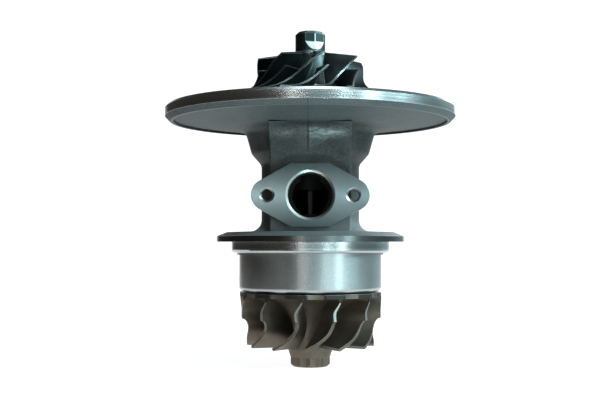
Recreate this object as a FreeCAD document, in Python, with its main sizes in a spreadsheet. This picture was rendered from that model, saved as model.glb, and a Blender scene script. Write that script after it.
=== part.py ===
import FreeCAD, Part
import math
import os
import re
import Sketcher

# Turbo cartridge: the rotor, its floating bearings, the seals and the cast bearing housing.
# The shaft stands along Z. The origin is on the shaft axis, on the underside of the turbine
# flange, +Z runs towards the compressor wheel and -Y towards the oil drain flange.

SIZES = {
    # Turbine flange, spigot and the shield's register, in millimetres
    "flange_radius": 56.7,
    "flange_rim": 3.3,
    "flange_height": 6.4,
    "flange_bevel": 2.5,
    "flange_shelf_radius": 50.5,
    "spigot_radius": 47.7,
    "spigot_length": 6.6,
    "spigot_round": 1.8,
    "register_length": 4.2,
    "register_wall": 5.5,
    "snout_root_radius": 28.0,
    "snout_root_depth": 8.6,
    "snout_taper_depth": 23.5,
    "snout_shoulder_radius": 17.0,
    # Cast neck, shoulders and the large compressor flange
    "neck_radius": 29.6,
    "neck_height": 46.2,
    "neck_fillet": 7.0,
    "shoulder_radius": 35.6,
    "shoulder_height": 6.8,
    "shoulder_top_radius": 39.4,
    "shoulder_top_drop": 7.0,
    "shoulder_fillet": 5.0,
    "disc_radius": 87.5,
    "disc_above_seat": 23.2,
    "disc_rim": 4.6,
    "disc_top_bevel": 1.6,
    "disc_under_bevel": 2.9,
    "disc_edge_thickness": 7.7,
    "disc_groove_inset": 4.9,
    "disc_dish_radius": 62.0,
    "disc_dish_depth": 1.2,
    "wheel_recess_clearance": 1.5,
    "wheel_recess_depth": 0.3,
    # Oil drain boss and its two-hole flange
    "boss_width": 47.0,
    "boss_reach": 36.0,
    "boss_foot_height": 4.0,
    "boss_round": 1.2,
    "boss_flare": 9.5,
    "boss_flare_drop": 5.7,
    "drain_height": 26.5,
    "drain_face_reach": 42.0,
    "drain_flange_thickness": 8.6,
    "drain_flange_height": 36.2,
    "drain_flat_width": 22.0,
    "drain_hole_spacing": 49.0,
    "drain_hole_radius": 3.4,
    "drain_ear_radius": 9.2,
    "drain_mouth_radius": 12.8,
    "drain_mouth_depth": 19.0,
    "drain_bore_radius": 10.6,
    # Oil inlet boss and drillings
    "inlet_height": 40.0,
    "inlet_boss_radius": 12.5,
    "inlet_reach": 37.5,
    "inlet_thread_radius": 5.25,
    "inlet_thread_depth": 13.0,
    "inlet_drilling_radius": 2.6,
    "gallery_radius": 2.2,
    "gallery_offset": 19.6,
    "feed_radius": 1.6,
    # Oil cavity inside the housing
    "cavity_radius": 23.6,
    "cavity_floor": 9.0,
    "cavity_roof_drop": 4.5,
    "cavity_sweep": 250.0,
    "slinger_radius": 16.6,
    "slinger_height": 8.5,
    "bearing_boss_radius": 15.2,
    "thrust_drain_width": 18.0,
    # Floating bearings and their circlips
    "journal_radius": 7.0,
    "journal_clearance": 0.04,
    "bearing_outer_radius": 10.75,
    "bearing_clearance": 0.05,
    "bearing_length": 13.0,
    "turbine_bearing_height": 0.5,
    "bearing_distance": 20.5,
    "bearing_end_gap": 0.3,
    "bearing_hole_radius": 1.4,
    "bearing_hole_count": 6,
    "circlip_wire": 1.2,
    "circlip_depth": 1.2,
    "circlip_stand": 1.1,
    "circlip_opening": 6.0,
    "circlip_fit": 0.05,
    "window_margin": 1.6,
    # Turbine seal: two rings in the shaft's boss
    "seal_bore_radius": 12.1,
    "seal_boss_clearance": 0.1,
    "seal_boss_length": 17.0,
    "turbine_ring_width": 1.8,
    "turbine_ring_depth": 1.5,
    "turbine_ring_inset": 3.2,
    "turbine_ring_pitch": 5.0,
    "ring_side_gap": 0.15,
    "ring_back_gap": 0.3,
    "ring_slit": 0.5,
    # Shaft
    "shaft_neck_radius": 8.6,
    "shaft_relief_depth": 0.6,
    "shaft_relief_margin": 2.5,
    "stub_radius": 5.0,
    "thread_radius": 4.6,
    "thread_length": 22.0,
    "shaft_chamfer": 0.6,
    # Thrust parts, stacked on the thrust seat
    "thrust_seat_stand": 11.0,
    "thrust_plate_radius": 24.0,
    "thrust_plate_thickness": 5.0,
    "thrust_end_gap": 0.06,
    "thrust_bore_clearance": 0.1,
    "collar_radius": 15.5,
    "collar_thickness": 3.6,
    "collar_hub_radius": 9.0,
    "collar_room": 1.2,
    "stub_clearance": 0.02,
    "thrust_pad_count": 6,
    "thrust_pad_groove": 2.0,
    "thrust_pad_groove_depth": 0.5,
    "thrust_feed_radius": 1.5,
    "thrust_feed_depth": 3.2,
    "thrust_cross_radius": 0.9,
    "pin_radius": 1.5,
    "pin_length": 7.0,
    "pin_offset": 20.0,
    "pin_stand": 3.0,
    "baffle_height": 5.4,
    "baffle_wall": 1.2,
    "baffle_hole_radius": 12.0,
    "thrower_radius": 15.5,
    "thrower_flange": 2.6,
    "thrower_hub_radius": 10.4,
    "recess_clearance": 0.1,
    # Seal plate, its O-ring, circlip and the compressor seal ring
    "seal_plate_radius": 36.0,
    "seal_plate_thickness": 10.4,
    "seal_plate_hub_rise": 1.6,
    "seal_plate_hub_radius": 16.0,
    "seal_plate_bevel": 1.0,
    "seal_ring_bore_clearance": 0.1,
    "thrower_stand": 0.2,
    "o_ring_section": 2.6,
    "o_ring_groove_depth": 2.2,
    "o_ring_squeeze": 0.2,
    "o_ring_inset": 3.2,
    "plate_circlip_thickness": 1.4,
    "plate_circlip_depth": 1.8,
    "plate_circlip_stand": 2.4,
    "plate_circlip_opening": 24.0,
    "compressor_ring_width": 1.9,
    "compressor_ring_depth": 1.5,
    "compressor_ring_inset": 4.0,
    # Heat shield
    "shield_radius": 43.0,
    "shield_wall": 1.2,
    "shield_lip_radius": 44.4,
    "shield_depth": 29.5,
    "shield_corner": 2.4,
    "shield_fit": 0.02,
    "shield_hole_gap": 0.25,
    "snout_tip_radius": 14.2,
    # Turbine wheel
    "turbine_back_gap": 0.8,
    "turbine_radius": 43.0,
    "turbine_inlet_width": 15.3,
    "turbine_exducer_radius": 38.6,
    "turbine_exducer_start": 22.5,
    "turbine_length": 32.0,
    "turbine_blade_count": 12,
    "turbine_blade_angle": 19.4,
    "turbine_blade_tip": 1.5,
    "turbine_blade_root": 3.0,
    "turbine_wrap": 24.0,
    "turbine_wrap_power": 2.35,
    "turbine_disc_thickness": 2.4,
    "turbine_disc_scallop": 1.6,
    "turbine_scallop_radius": 14.0,
    "turbine_hub_radius": 13.6,
    "turbine_hub_length": 34.4,
    "turbine_nose_radius": 12.2,
    "turbine_nose_length": 4.6,
    "wrench_radius": 11.9,
    "wrench_length": 6.0,
    "wrench_bevel": 1.4,
    # Compressor wheel
    "compressor_back_boss": 1.2,
    "compressor_boss_radius": 9.6,
    "compressor_radius": 49.5,
    "compressor_disc_thickness": 1.4,
    "compressor_tip_width": 4.8,
    "inducer_radius": 32.3,
    "inducer_straight": 9.2,
    "shroud_rise": 12.5,
    "compressor_hub_radius": 10.6,
    "compressor_hub_rise": 30.0,
    "compressor_blade_count": 8,
    "compressor_blade_angle": 14.6,
    "compressor_blade_tip": 1.0,
    "compressor_blade_root": 2.2,
    "compressor_wrap": 57.0,
    "compressor_wrap_early": 31.7,
    "compressor_wrap_late": 38.3,
    "splitter_start": 0.23,
    "nose_radius": 9.1,
    "nose_length": 13.6,
    "nose_bevel": 1.6,
    "blind_bore_extra": 1.6,
    "balance_depth": 1.45,
    "balance_height": 6.6,
    "balance_run_out": 5.0,
    "balance_angle": 13.8,
    "balance_angle_step": 15.6,
}

doc = FreeCAD.newDocument("TurboCartridge")
sheet = doc.addObject("Spreadsheet::Sheet", "Sizes")
for row, (alias, value) in enumerate(SIZES.items(), start=1):
    sheet.set(f"A{row}", alias.replace("_", " "))
    sheet.set(f"B{row}", str(value))
    sheet.setAlias(f"B{row}", alias)
doc.recompute()

# How far a cut or a trimmed shape runs past the face it has to clear, in millimetres
OVERCUT = 1.0


def size(alias):
    return float(sheet.get(alias))


def bound(text):
    """Write the sheet's name before each size in an expression."""
    def name(match):
        word = match.group()
        return f"Sizes.{word}" if word in SIZES else word
    return re.sub(r"[a-z][a-z_]+", name, text)


def value_of(text):
    """Work an expression of sizes out as a number."""
    return float(sheet.evalExpression(bound(text)))


# Heights that several pieces share, as expressions of the sheet's sizes
TURBINE_BEARING_END = "(turbine_bearing_height + bearing_length)"
COMPRESSOR_BEARING = f"({TURBINE_BEARING_END} + bearing_distance)"
COMPRESSOR_BEARING_END = f"({COMPRESSOR_BEARING} + bearing_length)"
CIRCLIP_RUN = "(bearing_end_gap + circlip_wire + window_margin)"
BEARING_BORE = "(bearing_outer_radius + bearing_clearance)"
THRUST_SEAT = f"({COMPRESSOR_BEARING_END} + thrust_seat_stand)"
THRUST_PLATE_TOP = f"({THRUST_SEAT} + thrust_plate_thickness)"
COLLAR_FOOT = f"({THRUST_SEAT} - thrust_end_gap - collar_thickness)"
CAVITY_ROOF = f"({THRUST_SEAT} - cavity_roof_drop)"
SEAL_SEAT = f"({THRUST_PLATE_TOP} + baffle_height)"
SEAL_PLATE_TOP = f"({SEAL_SEAT} + seal_plate_thickness)"
THRUST_RECESS = "(thrust_plate_radius + recess_clearance)"
SEAL_RECESS = "(seal_plate_radius + recess_clearance)"
THROWER_TOP = f"({SEAL_PLATE_TOP} + seal_plate_hub_rise + thrower_stand)"
SEAL_RING_BORE = "(thrower_hub_radius + seal_ring_bore_clearance)"
SHIELD_INNER = "(shield_radius - shield_wall)"
TURBINE_BACK = "(shield_depth + turbine_back_gap)"
DISC_TOP = f"({THRUST_SEAT} + disc_above_seat)"
DISC_UNDER = f"({DISC_TOP} - disc_edge_thickness)"
DISC_GROOVE = "(disc_radius - disc_groove_inset)"
DISC_BEVEL_FOOT = f"({DISC_TOP} - disc_top_bevel - disc_rim - disc_under_bevel)"
SHOULDER_TOP = f"({DISC_UNDER} - shoulder_top_drop)"
FLARE_TOP = f"({DISC_UNDER} - boss_flare_drop)"
WHEEL_RECESS = "(compressor_radius + wheel_recess_clearance)"


def origin_plane(body, role):
    return [item for item in body.Origin.OriginFeatures if item.Role == role][0]


def new_body(label):
    body = doc.addObject("PartDesign::Body", label)
    body.Label = label
    return body


def new_sketch(body, name, plane, offset=None):
    sketch = body.newObject("Sketcher::SketchObject", name)
    sketch.AttachmentSupport = [(origin_plane(body, plane), "")]
    sketch.MapMode = "FlatFace"
    if offset:
        sketch.setExpression("AttachmentOffset.Base.z", bound(offset))
    return sketch


def place_point(sketch, line, end, across, up):
    """Hold one end of a line at a place given by two expressions."""
    if across == "0":
        sketch.addConstraint(Sketcher.Constraint("PointOnObject", line, end, -2))
    else:
        index = sketch.addConstraint(
            Sketcher.Constraint("DistanceX", -1, 1, line, end, value_of(across)))
        sketch.setExpression(f"Constraints[{index}]", bound(across))
    if up == "0":
        sketch.addConstraint(Sketcher.Constraint("PointOnObject", line, end, -1))
    else:
        index = sketch.addConstraint(
            Sketcher.Constraint("DistanceY", -1, 1, line, end, value_of(up)))
        sketch.setExpression(f"Constraints[{index}]", bound(up))


def outline(body, name, plane, corners, offset=None):
    """A closed sketch of straight sides; each corner is a pair of expressions."""
    sketch = new_sketch(body, name, plane, offset)
    points = [FreeCAD.Vector(value_of(across), value_of(up), 0) for across, up in corners]
    count = len(points)
    for number in range(count):
        start, stop = points[number], points[(number + 1) % count]
        sketch.addGeometry(Part.LineSegment(start, stop), False)
    for number in range(count):
        joined = Sketcher.Constraint("Coincident", number, 2, (number + 1) % count, 1)
        sketch.addConstraint(joined)
    for number, (across, up) in enumerate(corners):
        place_point(sketch, number, 1, across, up)
    return sketch


def circles(body, name, plane, spots, offset=None):
    """A sketch of circles; each spot is centre across, centre up and radius."""
    sketch = new_sketch(body, name, plane, offset)
    for number, (across, up, radius) in enumerate(spots):
        centre = FreeCAD.Vector(value_of(across), value_of(up), 0)
        round_hole = Part.Circle(centre, FreeCAD.Vector(0, 0, 1), value_of(radius))
        sketch.addGeometry(round_hole, False)
        place_point(sketch, number, 3, across, up)
        index = sketch.addConstraint(Sketcher.Constraint("Radius", number, value_of(radius)))
        sketch.setExpression(f"Constraints[{index}]", bound(radius))
    return sketch


def feature(body, kind, name, sketch, **settings):
    """Add a PartDesign feature and see that it changes the solid as it should."""
    before = body.Tip.Shape.Volume if body.Tip else 0.0
    made = body.newObject(f"PartDesign::{kind}", name)
    made.Profile = sketch
    # Refining joins the arcs beside a turned face's seam into loose curves, so it stays off
    made.Refine = False
    if kind in ("Revolution", "Groove"):
        made.ReferenceAxis = (sketch, ["V_Axis"])
    for key, setting in settings.items():
        if isinstance(setting, str) and key in ("Length", "Length2", "Angle"):
            made.setExpression(key, bound(setting))
        else:
            setattr(made, key, setting)
    sketch.Visibility = False
    doc.recompute()
    change = made.Shape.Volume - before
    adds = kind in ("Revolution", "Pad")
    if (adds and change <= 0) or (not adds and change >= 0):
        raise ValueError(f"{name} in {body.Label} changes nothing: {change:.3f}")
    return made


def turned(label, corners):
    """A body turned about Z from one outline of radius and height."""
    body = new_body(label)
    sketch = outline(body, f"{label}_outline", "XZ_Plane", corners)
    feature(body, "Revolution", f"{label}_turned", sketch, Angle=360)
    return body


def ring_edges(shape, places):
    """Names of the full circles about Z at each (radius, height)."""
    found = []
    for number, edge in enumerate(shape.Edges, start=1):
        if not isinstance(edge.Curve, Part.Circle):
            continue
        centre = edge.Curve.Center
        if math.hypot(centre.x, centre.y) > 0.01:
            continue
        for radius, height in places:
            if abs(edge.Curve.Radius - radius) < 0.01 and abs(centre.z - height) < 0.01:
                found.append(f"Edge{number}")
    if len(found) < len(places):
        raise ValueError(f"only {found} found for {places}")
    return found


def dress(body, kind, name, amount, edges):
    """Round or bevel the named edges of the body's last feature."""
    base = body.Tip
    made = body.newObject(f"PartDesign::{kind}", name)
    made.Base = (base, edges)
    made.setExpression("Radius" if kind == "Fillet" else "Size", bound(amount))
    doc.recompute()
    return made


# Bearing housing
# One iron casting: turbine flange with its spigot, neck, shoulders, drain and inlet bosses, and
# the large compressor flange, turned where it seats and left as cast elsewhere.
def housing_form():
    tip = "-shield_depth"
    return turned("bearing_housing", [
        ("0", tip),
        ("snout_tip_radius", tip),
        ("snout_tip_radius", "-(shield_depth - shield_wall - shield_hole_gap)"),
        ("snout_shoulder_radius", "-snout_taper_depth"),
        ("snout_root_radius", "-snout_root_depth"),
        (f"{SHIELD_INNER} - register_wall", "-snout_root_depth"),
        (f"{SHIELD_INNER} - register_wall", "-(spigot_length + register_length)"),
        (f"{SHIELD_INNER} - shield_fit", "-(spigot_length + register_length)"),
        (f"{SHIELD_INNER} - shield_fit", "-spigot_length"),
        ("spigot_radius", "-spigot_length"),
        ("spigot_radius", "0"),
        ("flange_radius", "0"),
        ("flange_radius", "flange_rim"),
        ("flange_shelf_radius", "flange_rim + flange_bevel"),
        ("neck_radius", "flange_height"),
        ("neck_radius", "neck_height"),
        ("shoulder_radius", "neck_height + shoulder_height"),
        ("shoulder_top_radius", SHOULDER_TOP),
        ("disc_dish_radius", f"({SHOULDER_TOP} + {DISC_UNDER}) / 2 + disc_dish_depth"),
        (DISC_GROOVE, DISC_UNDER),
        (DISC_GROOVE, DISC_BEVEL_FOOT),
        ("disc_radius - disc_under_bevel", DISC_BEVEL_FOOT),
        ("disc_radius", f"{DISC_BEVEL_FOOT} + disc_under_bevel"),
        ("disc_radius", f"{DISC_TOP} - disc_top_bevel"),
        ("disc_radius - disc_top_bevel", DISC_TOP),
        ("0", DISC_TOP),
    ])


def lozenge(body):
    """The drain flange's outline: two flats, four straight slopes and two round ears."""
    sketch = new_sketch(body, "drain_flange_outline", "XZ_Plane",
                        "drain_face_reach - drain_flange_thickness")
    level = size("drain_height")
    half = size("drain_flange_height") / 2
    flat = size("drain_flat_width") / 2
    ear = size("drain_hole_spacing") / 2
    radius = size("drain_ear_radius")
    reach = math.hypot(ear - flat, half)
    turn = math.atan2(half, flat - ear) - math.acos(radius / reach)
    tangent = (ear + radius * math.cos(turn), radius * math.sin(turn))
    point = FreeCAD.Vector

    def at(across, up):
        return point(across, level + up, 0)

    axis = point(0, 0, 1)
    right = Part.ArcOfCircle(Part.Circle(at(ear, 0), axis, radius), -turn, turn)
    left = Part.ArcOfCircle(Part.Circle(at(-ear, 0), axis, radius), math.pi - turn, math.pi + turn)
    pieces = [
        Part.LineSegment(at(-flat, half), at(flat, half)),
        Part.LineSegment(at(flat, half), at(*tangent)),
        right,
        Part.LineSegment(at(tangent[0], -tangent[1]), at(flat, -half)),
        Part.LineSegment(at(flat, -half), at(-flat, -half)),
        Part.LineSegment(at(-flat, -half), at(-tangent[0], -tangent[1])),
        left,
        Part.LineSegment(at(-tangent[0], tangent[1]), at(-flat, half)),
    ]
    for piece in pieces:
        sketch.addGeometry(piece, False)
    rule = Sketcher.Constraint
    for first, first_end, second, second_end in [(0, 2, 1, 1), (3, 2, 4, 1), (4, 2, 5, 1), (7, 2, 0, 1)]:
        sketch.addConstraint(rule("Coincident", first, first_end, second, second_end))
    for first, first_end, second, second_end in [(1, 2, 2, 2), (2, 1, 3, 1), (5, 2, 6, 2), (6, 1, 7, 1)]:
        sketch.addConstraint(rule("Tangent", first, first_end, second, second_end))
    place_point(sketch, 2, 3, "drain_hole_spacing / 2", "drain_height")
    place_point(sketch, 6, 3, "-drain_hole_spacing / 2", "drain_height")
    for arc in (2, 6):
        index = sketch.addConstraint(rule("Radius", arc, radius))
        sketch.setExpression(f"Constraints[{index}]", bound("drain_ear_radius"))
    place_point(sketch, 0, 1, "-drain_flat_width / 2", "drain_height + drain_flange_height / 2")
    place_point(sketch, 0, 2, "drain_flat_width / 2", "drain_height + drain_flange_height / 2")
    place_point(sketch, 4, 1, "drain_flat_width / 2", "drain_height - drain_flange_height / 2")
    place_point(sketch, 4, 2, "-drain_flat_width / 2", "drain_height - drain_flange_height / 2")
    return sketch


def boss_outline(body):
    """The drain boss seen along the shaft: straight sides and two round front corners."""
    sketch = new_sketch(body, "drain_boss_outline", "XY_Plane", "boss_foot_height")
    half = size("boss_width") / 2
    front = -size("boss_reach")
    radius = size("boss_round")
    point = FreeCAD.Vector
    axis = point(0, 0, 1)
    corner_right = Part.Circle(point(half - radius, front + radius, 0), axis, radius)
    corner_left = Part.Circle(point(radius - half, front + radius, 0), axis, radius)
    pieces = [
        Part.LineSegment(point(-half, 0, 0), point(-half, front + radius, 0)),
        Part.ArcOfCircle(corner_left, math.pi, 1.5 * math.pi),
        Part.LineSegment(point(radius - half, front, 0), point(half - radius, front, 0)),
        Part.ArcOfCircle(corner_right, 1.5 * math.pi, 2 * math.pi),
        Part.LineSegment(point(half, front + radius, 0), point(half, 0, 0)),
        Part.LineSegment(point(half, 0, 0), point(-half, 0, 0)),
    ]
    rule = Sketcher.Constraint
    for piece in pieces:
        sketch.addGeometry(piece, False)
    for first, second in ((0, 1), (1, 2), (2, 3), (3, 4)):
        sketch.addConstraint(rule("Tangent", first, 2, second, 1))
    sketch.addConstraint(rule("Coincident", 4, 2, 5, 1))
    sketch.addConstraint(rule("Coincident", 5, 2, 0, 1))
    sketch.addConstraint(rule("Vertical", 0))
    sketch.addConstraint(rule("Vertical", 4))
    place_point(sketch, 0, 1, "-boss_width / 2", "0")
    place_point(sketch, 4, 2, "boss_width / 2", "0")
    for arc in (1, 3):
        index = sketch.addConstraint(rule("Radius", arc, radius))
        sketch.setExpression(f"Constraints[{index}]", bound("boss_round"))
    index = sketch.addConstraint(rule("DistanceY", -1, 1, 1, 2, front))
    sketch.setExpression(f"Constraints[{index}]", bound("-boss_reach"))
    return sketch


def flare_outline(body):
    """The hollow curve that runs from the boss's front face into the compressor flange."""
    sketch = new_sketch(body, "boss_flare_outline", "YZ_Plane")
    front = -size("boss_reach")
    flare = size("boss_flare")
    top = value_of(FLARE_TOP)
    point = FreeCAD.Vector
    hollow = Part.Circle(point(front - flare, top - flare, 0), point(0, 0, 1), flare)
    sketch.addGeometry(Part.ArcOfCircle(hollow, 0, math.pi / 2), False)
    sketch.addGeometry(Part.LineSegment(point(front - flare, top, 0), point(0, top, 0)), False)
    sketch.addGeometry(Part.LineSegment(point(0, top, 0), point(0, top - flare, 0)), False)
    sketch.addGeometry(Part.LineSegment(point(0, top - flare, 0), point(front, top - flare, 0)), False)
    for first, first_end, second, second_end in [(0, 2, 1, 1), (1, 2, 2, 1), (2, 2, 3, 1), (3, 2, 0, 1)]:
        sketch.addConstraint(Sketcher.Constraint("Coincident", first, first_end, second, second_end))
    place_point(sketch, 0, 3, "-(boss_reach + boss_flare)", f"{FLARE_TOP} - boss_flare")
    place_point(sketch, 1, 1, "-(boss_reach + boss_flare)", FLARE_TOP)
    place_point(sketch, 2, 1, "0", FLARE_TOP)
    place_point(sketch, 3, 1, "0", f"{FLARE_TOP} - boss_flare")
    sketch.addConstraint(Sketcher.Constraint("Horizontal", 3))
    return sketch


def housing_drain(body):
    """Cast drain boss, its flare into the large flange and its lozenge flange."""
    feature(body, "Pad", "drain_boss", boss_outline(body), Length=f"{DISC_UNDER} - boss_foot_height")
    feature(body, "Pad", "boss_flare", flare_outline(body), Length="boss_width", Midplane=True)
    feature(body, "Pad", "drain_flange", lozenge(body), Length="drain_flange_thickness")


def housing_drain_bores(body):
    mouth = circles(body, "drain_mouth_circle", "XZ_Plane",
                    [("0", "drain_height", "drain_mouth_radius")], "drain_face_reach")
    feature(body, "Pocket", "drain_mouth", mouth, Length="drain_mouth_depth")
    bore = circles(body, "drain_bore_circle", "XZ_Plane",
                   [("0", "drain_height", "drain_bore_radius")], "drain_face_reach")
    feature(body, "Pocket", "drain_bore", bore, Length="drain_face_reach - bearing_boss_radius")
    screws = circles(body, "drain_screw_circles", "XZ_Plane", [
        ("-drain_hole_spacing / 2", "drain_height", "drain_hole_radius"),
        ("drain_hole_spacing / 2", "drain_height", "drain_hole_radius")], "drain_face_reach")
    feature(body, "Pocket", "drain_screw_holes", screws, Length="drain_flange_thickness")


def housing_inlet_boss(body):
    pad = circles(body, "inlet_boss_circle", "XZ_Plane",
                  [("0", "inlet_height", "inlet_boss_radius")])
    feature(body, "Pad", "inlet_boss", pad, Length="inlet_reach", Reversed=True)


def housing_bores(body):
    """Everything that is bored from the two ends, about the shaft's axis."""
    def circlip_steps(gap_low, gap_high):
        return [
            (BEARING_BORE, gap_low),
            (f"{BEARING_BORE} + circlip_depth", gap_low),
            (f"{BEARING_BORE} + circlip_depth", gap_high),
            (BEARING_BORE, gap_high),
        ]
    low = "bearing_end_gap - circlip_fit"
    high = "bearing_end_gap + circlip_wire + circlip_fit"
    steps = [
        ("0", f"-(shield_depth + {OVERCUT})"),
        ("seal_bore_radius", f"-(shield_depth + {OVERCUT})"),
        ("seal_bore_radius", f"-({TURBINE_BACK} - seal_boss_length)"),
        ("slinger_radius", f"-({TURBINE_BACK} - seal_boss_length)"),
        ("slinger_radius", f"-({TURBINE_BACK} - seal_boss_length - slinger_height)"),
        (BEARING_BORE, f"-({TURBINE_BACK} - seal_boss_length - slinger_height)"),
    ]
    steps += circlip_steps(f"turbine_bearing_height - ({high})", f"turbine_bearing_height - ({low})")
    steps += circlip_steps(f"{TURBINE_BEARING_END} + {low}", f"{TURBINE_BEARING_END} + {high}")
    steps += circlip_steps(f"{COMPRESSOR_BEARING} - ({high})", f"{COMPRESSOR_BEARING} - ({low})")
    steps += circlip_steps(f"{COMPRESSOR_BEARING_END} + {low}", f"{COMPRESSOR_BEARING_END} + {high}")
    floor = f"{COLLAR_FOOT} - collar_room"
    steps += [
        (BEARING_BORE, floor),
        ("collar_radius + collar_room", floor),
        ("collar_radius + collar_room", THRUST_SEAT),
        (THRUST_RECESS, THRUST_SEAT),
        (THRUST_RECESS, SEAL_SEAT),
        (SEAL_RECESS, SEAL_SEAT),
        (SEAL_RECESS, f"{SEAL_PLATE_TOP} - circlip_fit"),
        (f"{SEAL_RECESS} + plate_circlip_depth", f"{SEAL_PLATE_TOP} - circlip_fit"),
        (f"{SEAL_RECESS} + plate_circlip_depth",
         f"{SEAL_PLATE_TOP} + plate_circlip_thickness + circlip_fit"),
        (SEAL_RECESS, f"{SEAL_PLATE_TOP} + plate_circlip_thickness + circlip_fit"),
        (SEAL_RECESS, f"{DISC_TOP} - wheel_recess_depth"),
        (WHEEL_RECESS, f"{DISC_TOP} - wheel_recess_depth"),
        (WHEEL_RECESS, f"{DISC_TOP} + {OVERCUT}"),
        ("0", f"{DISC_TOP} + {OVERCUT}"),
    ]
    sketch = outline(body, "bores_outline", "XZ_Plane", steps)
    feature(body, "Groove", "bores", sketch, Angle=360)


def housing_cavity(body):
    """The oil cavity, open to the shaft between the bearings and closed by a web on the inlet side."""
    floor = "-cavity_floor"
    boss = "bearing_boss_radius"
    low_boss = f"{TURBINE_BEARING_END} + {CIRCLIP_RUN}"
    high_boss = f"{COMPRESSOR_BEARING} - {CIRCLIP_RUN}"
    sketch = outline(body, "cavity_outline", "YZ_Plane", [
        (f"-({boss})", floor),
        ("-cavity_radius", floor),
        ("-cavity_radius", CAVITY_ROOF),
        (f"-({boss})", CAVITY_ROOF),
        (f"-({boss})", high_boss),
        ("-journal_radius", high_boss),
        ("-journal_radius", low_boss),
        (f"-({boss})", low_boss)])
    feature(body, "Groove", "oil_cavity", sketch, Angle="cavity_sweep", Midplane=True)
    slot = outline(body, "thrust_drain_outline", "XZ_Plane", [
        ("-thrust_drain_width / 2", f"{CAVITY_ROOF} - window_margin"),
        ("thrust_drain_width / 2", f"{CAVITY_ROOF} - window_margin"),
        ("thrust_drain_width / 2", f"{THRUST_SEAT} + window_margin"),
        ("-thrust_drain_width / 2", f"{THRUST_SEAT} + window_margin")],
        "bearing_boss_radius")
    feature(body, "Pocket", "thrust_drain_slot", slot,
            Length="cavity_radius - bearing_boss_radius", Reversed=True)


def housing_drillings(body):
    """Oil inlet thread, the long gallery in the web and a feed to each bearing."""
    thread = circles(body, "inlet_thread_circle", "XZ_Plane",
                     [("0", "inlet_height", "inlet_thread_radius")], "-inlet_reach")
    feature(body, "Pocket", "inlet_thread", thread, Length="inlet_thread_depth", Reversed=True)
    middle = "turbine_bearing_height + bearing_length / 2"
    spots = [("0", "inlet_height", "inlet_drilling_radius")]
    inlet = circles(body, "inlet_drilling_circle", "XZ_Plane", spots, "-inlet_reach")
    feature(body, "Pocket", "inlet_drilling", inlet,
            Length="inlet_reach - gallery_offset", Reversed=True)
    gallery = circles(body, "gallery_circle", "XY_Plane",
                      [("0", "gallery_offset", "gallery_radius")], THRUST_SEAT)
    feature(body, "Pocket", "gallery", gallery,
            Length=f"{THRUST_SEAT} - ({middle}) + gallery_radius")
    feeds = circles(body, "feed_circles", "XZ_Plane", [
        ("0", middle, "feed_radius"),
        ("0", f"{COMPRESSOR_BEARING} + bearing_length / 2", "feed_radius")], "-gallery_offset")
    feature(body, "Pocket", "bearing_feeds", feeds,
            Length="gallery_offset - journal_radius", Reversed=True)


def housing_pin_holes(body):
    holes = circles(body, "pin_hole_circles", "XY_Plane", [
        ("-pin_offset", "0", "pin_radius"), ("pin_offset", "0", "pin_radius")],
        THRUST_SEAT)
    feature(body, "Pocket", "pin_holes", holes, Length="pin_length - pin_stand")


def bearing_housing():
    body = housing_form()
    shape = body.Tip.Shape
    neck = size("neck_radius")
    dress(body, "Fillet", "neck_foot_round", "neck_fillet",
          ring_edges(shape, [(neck, size("flange_height"))]))
    dress(body, "Fillet", "shoulder_rounds", "shoulder_fillet", ring_edges(body.Tip.Shape, [
        (neck, size("neck_height")),
        (size("shoulder_radius"), value_of("neck_height + shoulder_height")),
        (size("shoulder_top_radius"), value_of(SHOULDER_TOP))]))
    dress(body, "Fillet", "spigot_round", "spigot_round", ring_edges(body.Tip.Shape, [
        (size("spigot_radius"), -size("spigot_length"))]))
    housing_drain(body)
    housing_inlet_boss(body)
    housing_bores(body)
    housing_cavity(body)
    housing_drain_bores(body)
    housing_drillings(body)
    housing_pin_holes(body)
    return body


# Heat shield
# A drawn stainless cup, pressed on the housing's register with its rolled lip against the spigot.
def heat_shield():
    inner = SHIELD_INNER
    lip = "spigot_length"
    body = turned("heat_shield", [
        (inner, f"-{lip}"),
        ("shield_lip_radius", f"-{lip}"),
        ("shield_lip_radius", f"-({lip} + shield_wall)"),
        ("shield_radius", f"-({lip} + shield_wall)"),
        ("shield_radius", "-shield_depth"),
        ("snout_tip_radius + shield_hole_gap", "-shield_depth"),
        ("snout_tip_radius + shield_hole_gap", "-(shield_depth - shield_wall)"),
        (inner, "-(shield_depth - shield_wall)")])
    dress(body, "Fillet", "shield_outer_corner", "shield_corner",
          ring_edges(body.Tip.Shape, [(size("shield_radius"), -size("shield_depth"))]))
    inside = value_of(inner)
    dress(body, "Fillet", "shield_inner_corner", "shield_corner - shield_wall",
          ring_edges(body.Tip.Shape, [(inside, value_of("-(shield_depth - shield_wall)"))]))
    return body


# Shaft
# Welded to the turbine wheel: seal boss with two ring grooves, two journals and the stub for the
# thrust parts, ending in the thread that screws into the compressor wheel.
def ring_groove(body, name, outer, low, width, depth):
    sketch = outline(body, f"{name}_outline", "XZ_Plane", [
        (f"{outer} - {depth}", low),
        (f"{outer} + {OVERCUT}", low),
        (f"{outer} + {OVERCUT}", f"{low} + {width}"),
        (f"{outer} - {depth}", f"{low} + {width}")])
    feature(body, "Groove", name, sketch, Angle=360)


def turbine_ring_low(number):
    """Underside of a turbine seal ring, counted from the wheel upwards."""
    return f"-({TURBINE_BACK} - turbine_ring_inset - {number} * turbine_ring_pitch)"


GROOVE_DEPTH = "(turbine_ring_depth + ring_back_gap - seal_boss_clearance)"
SEAL_BOSS = "(seal_bore_radius - seal_boss_clearance)"


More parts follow.
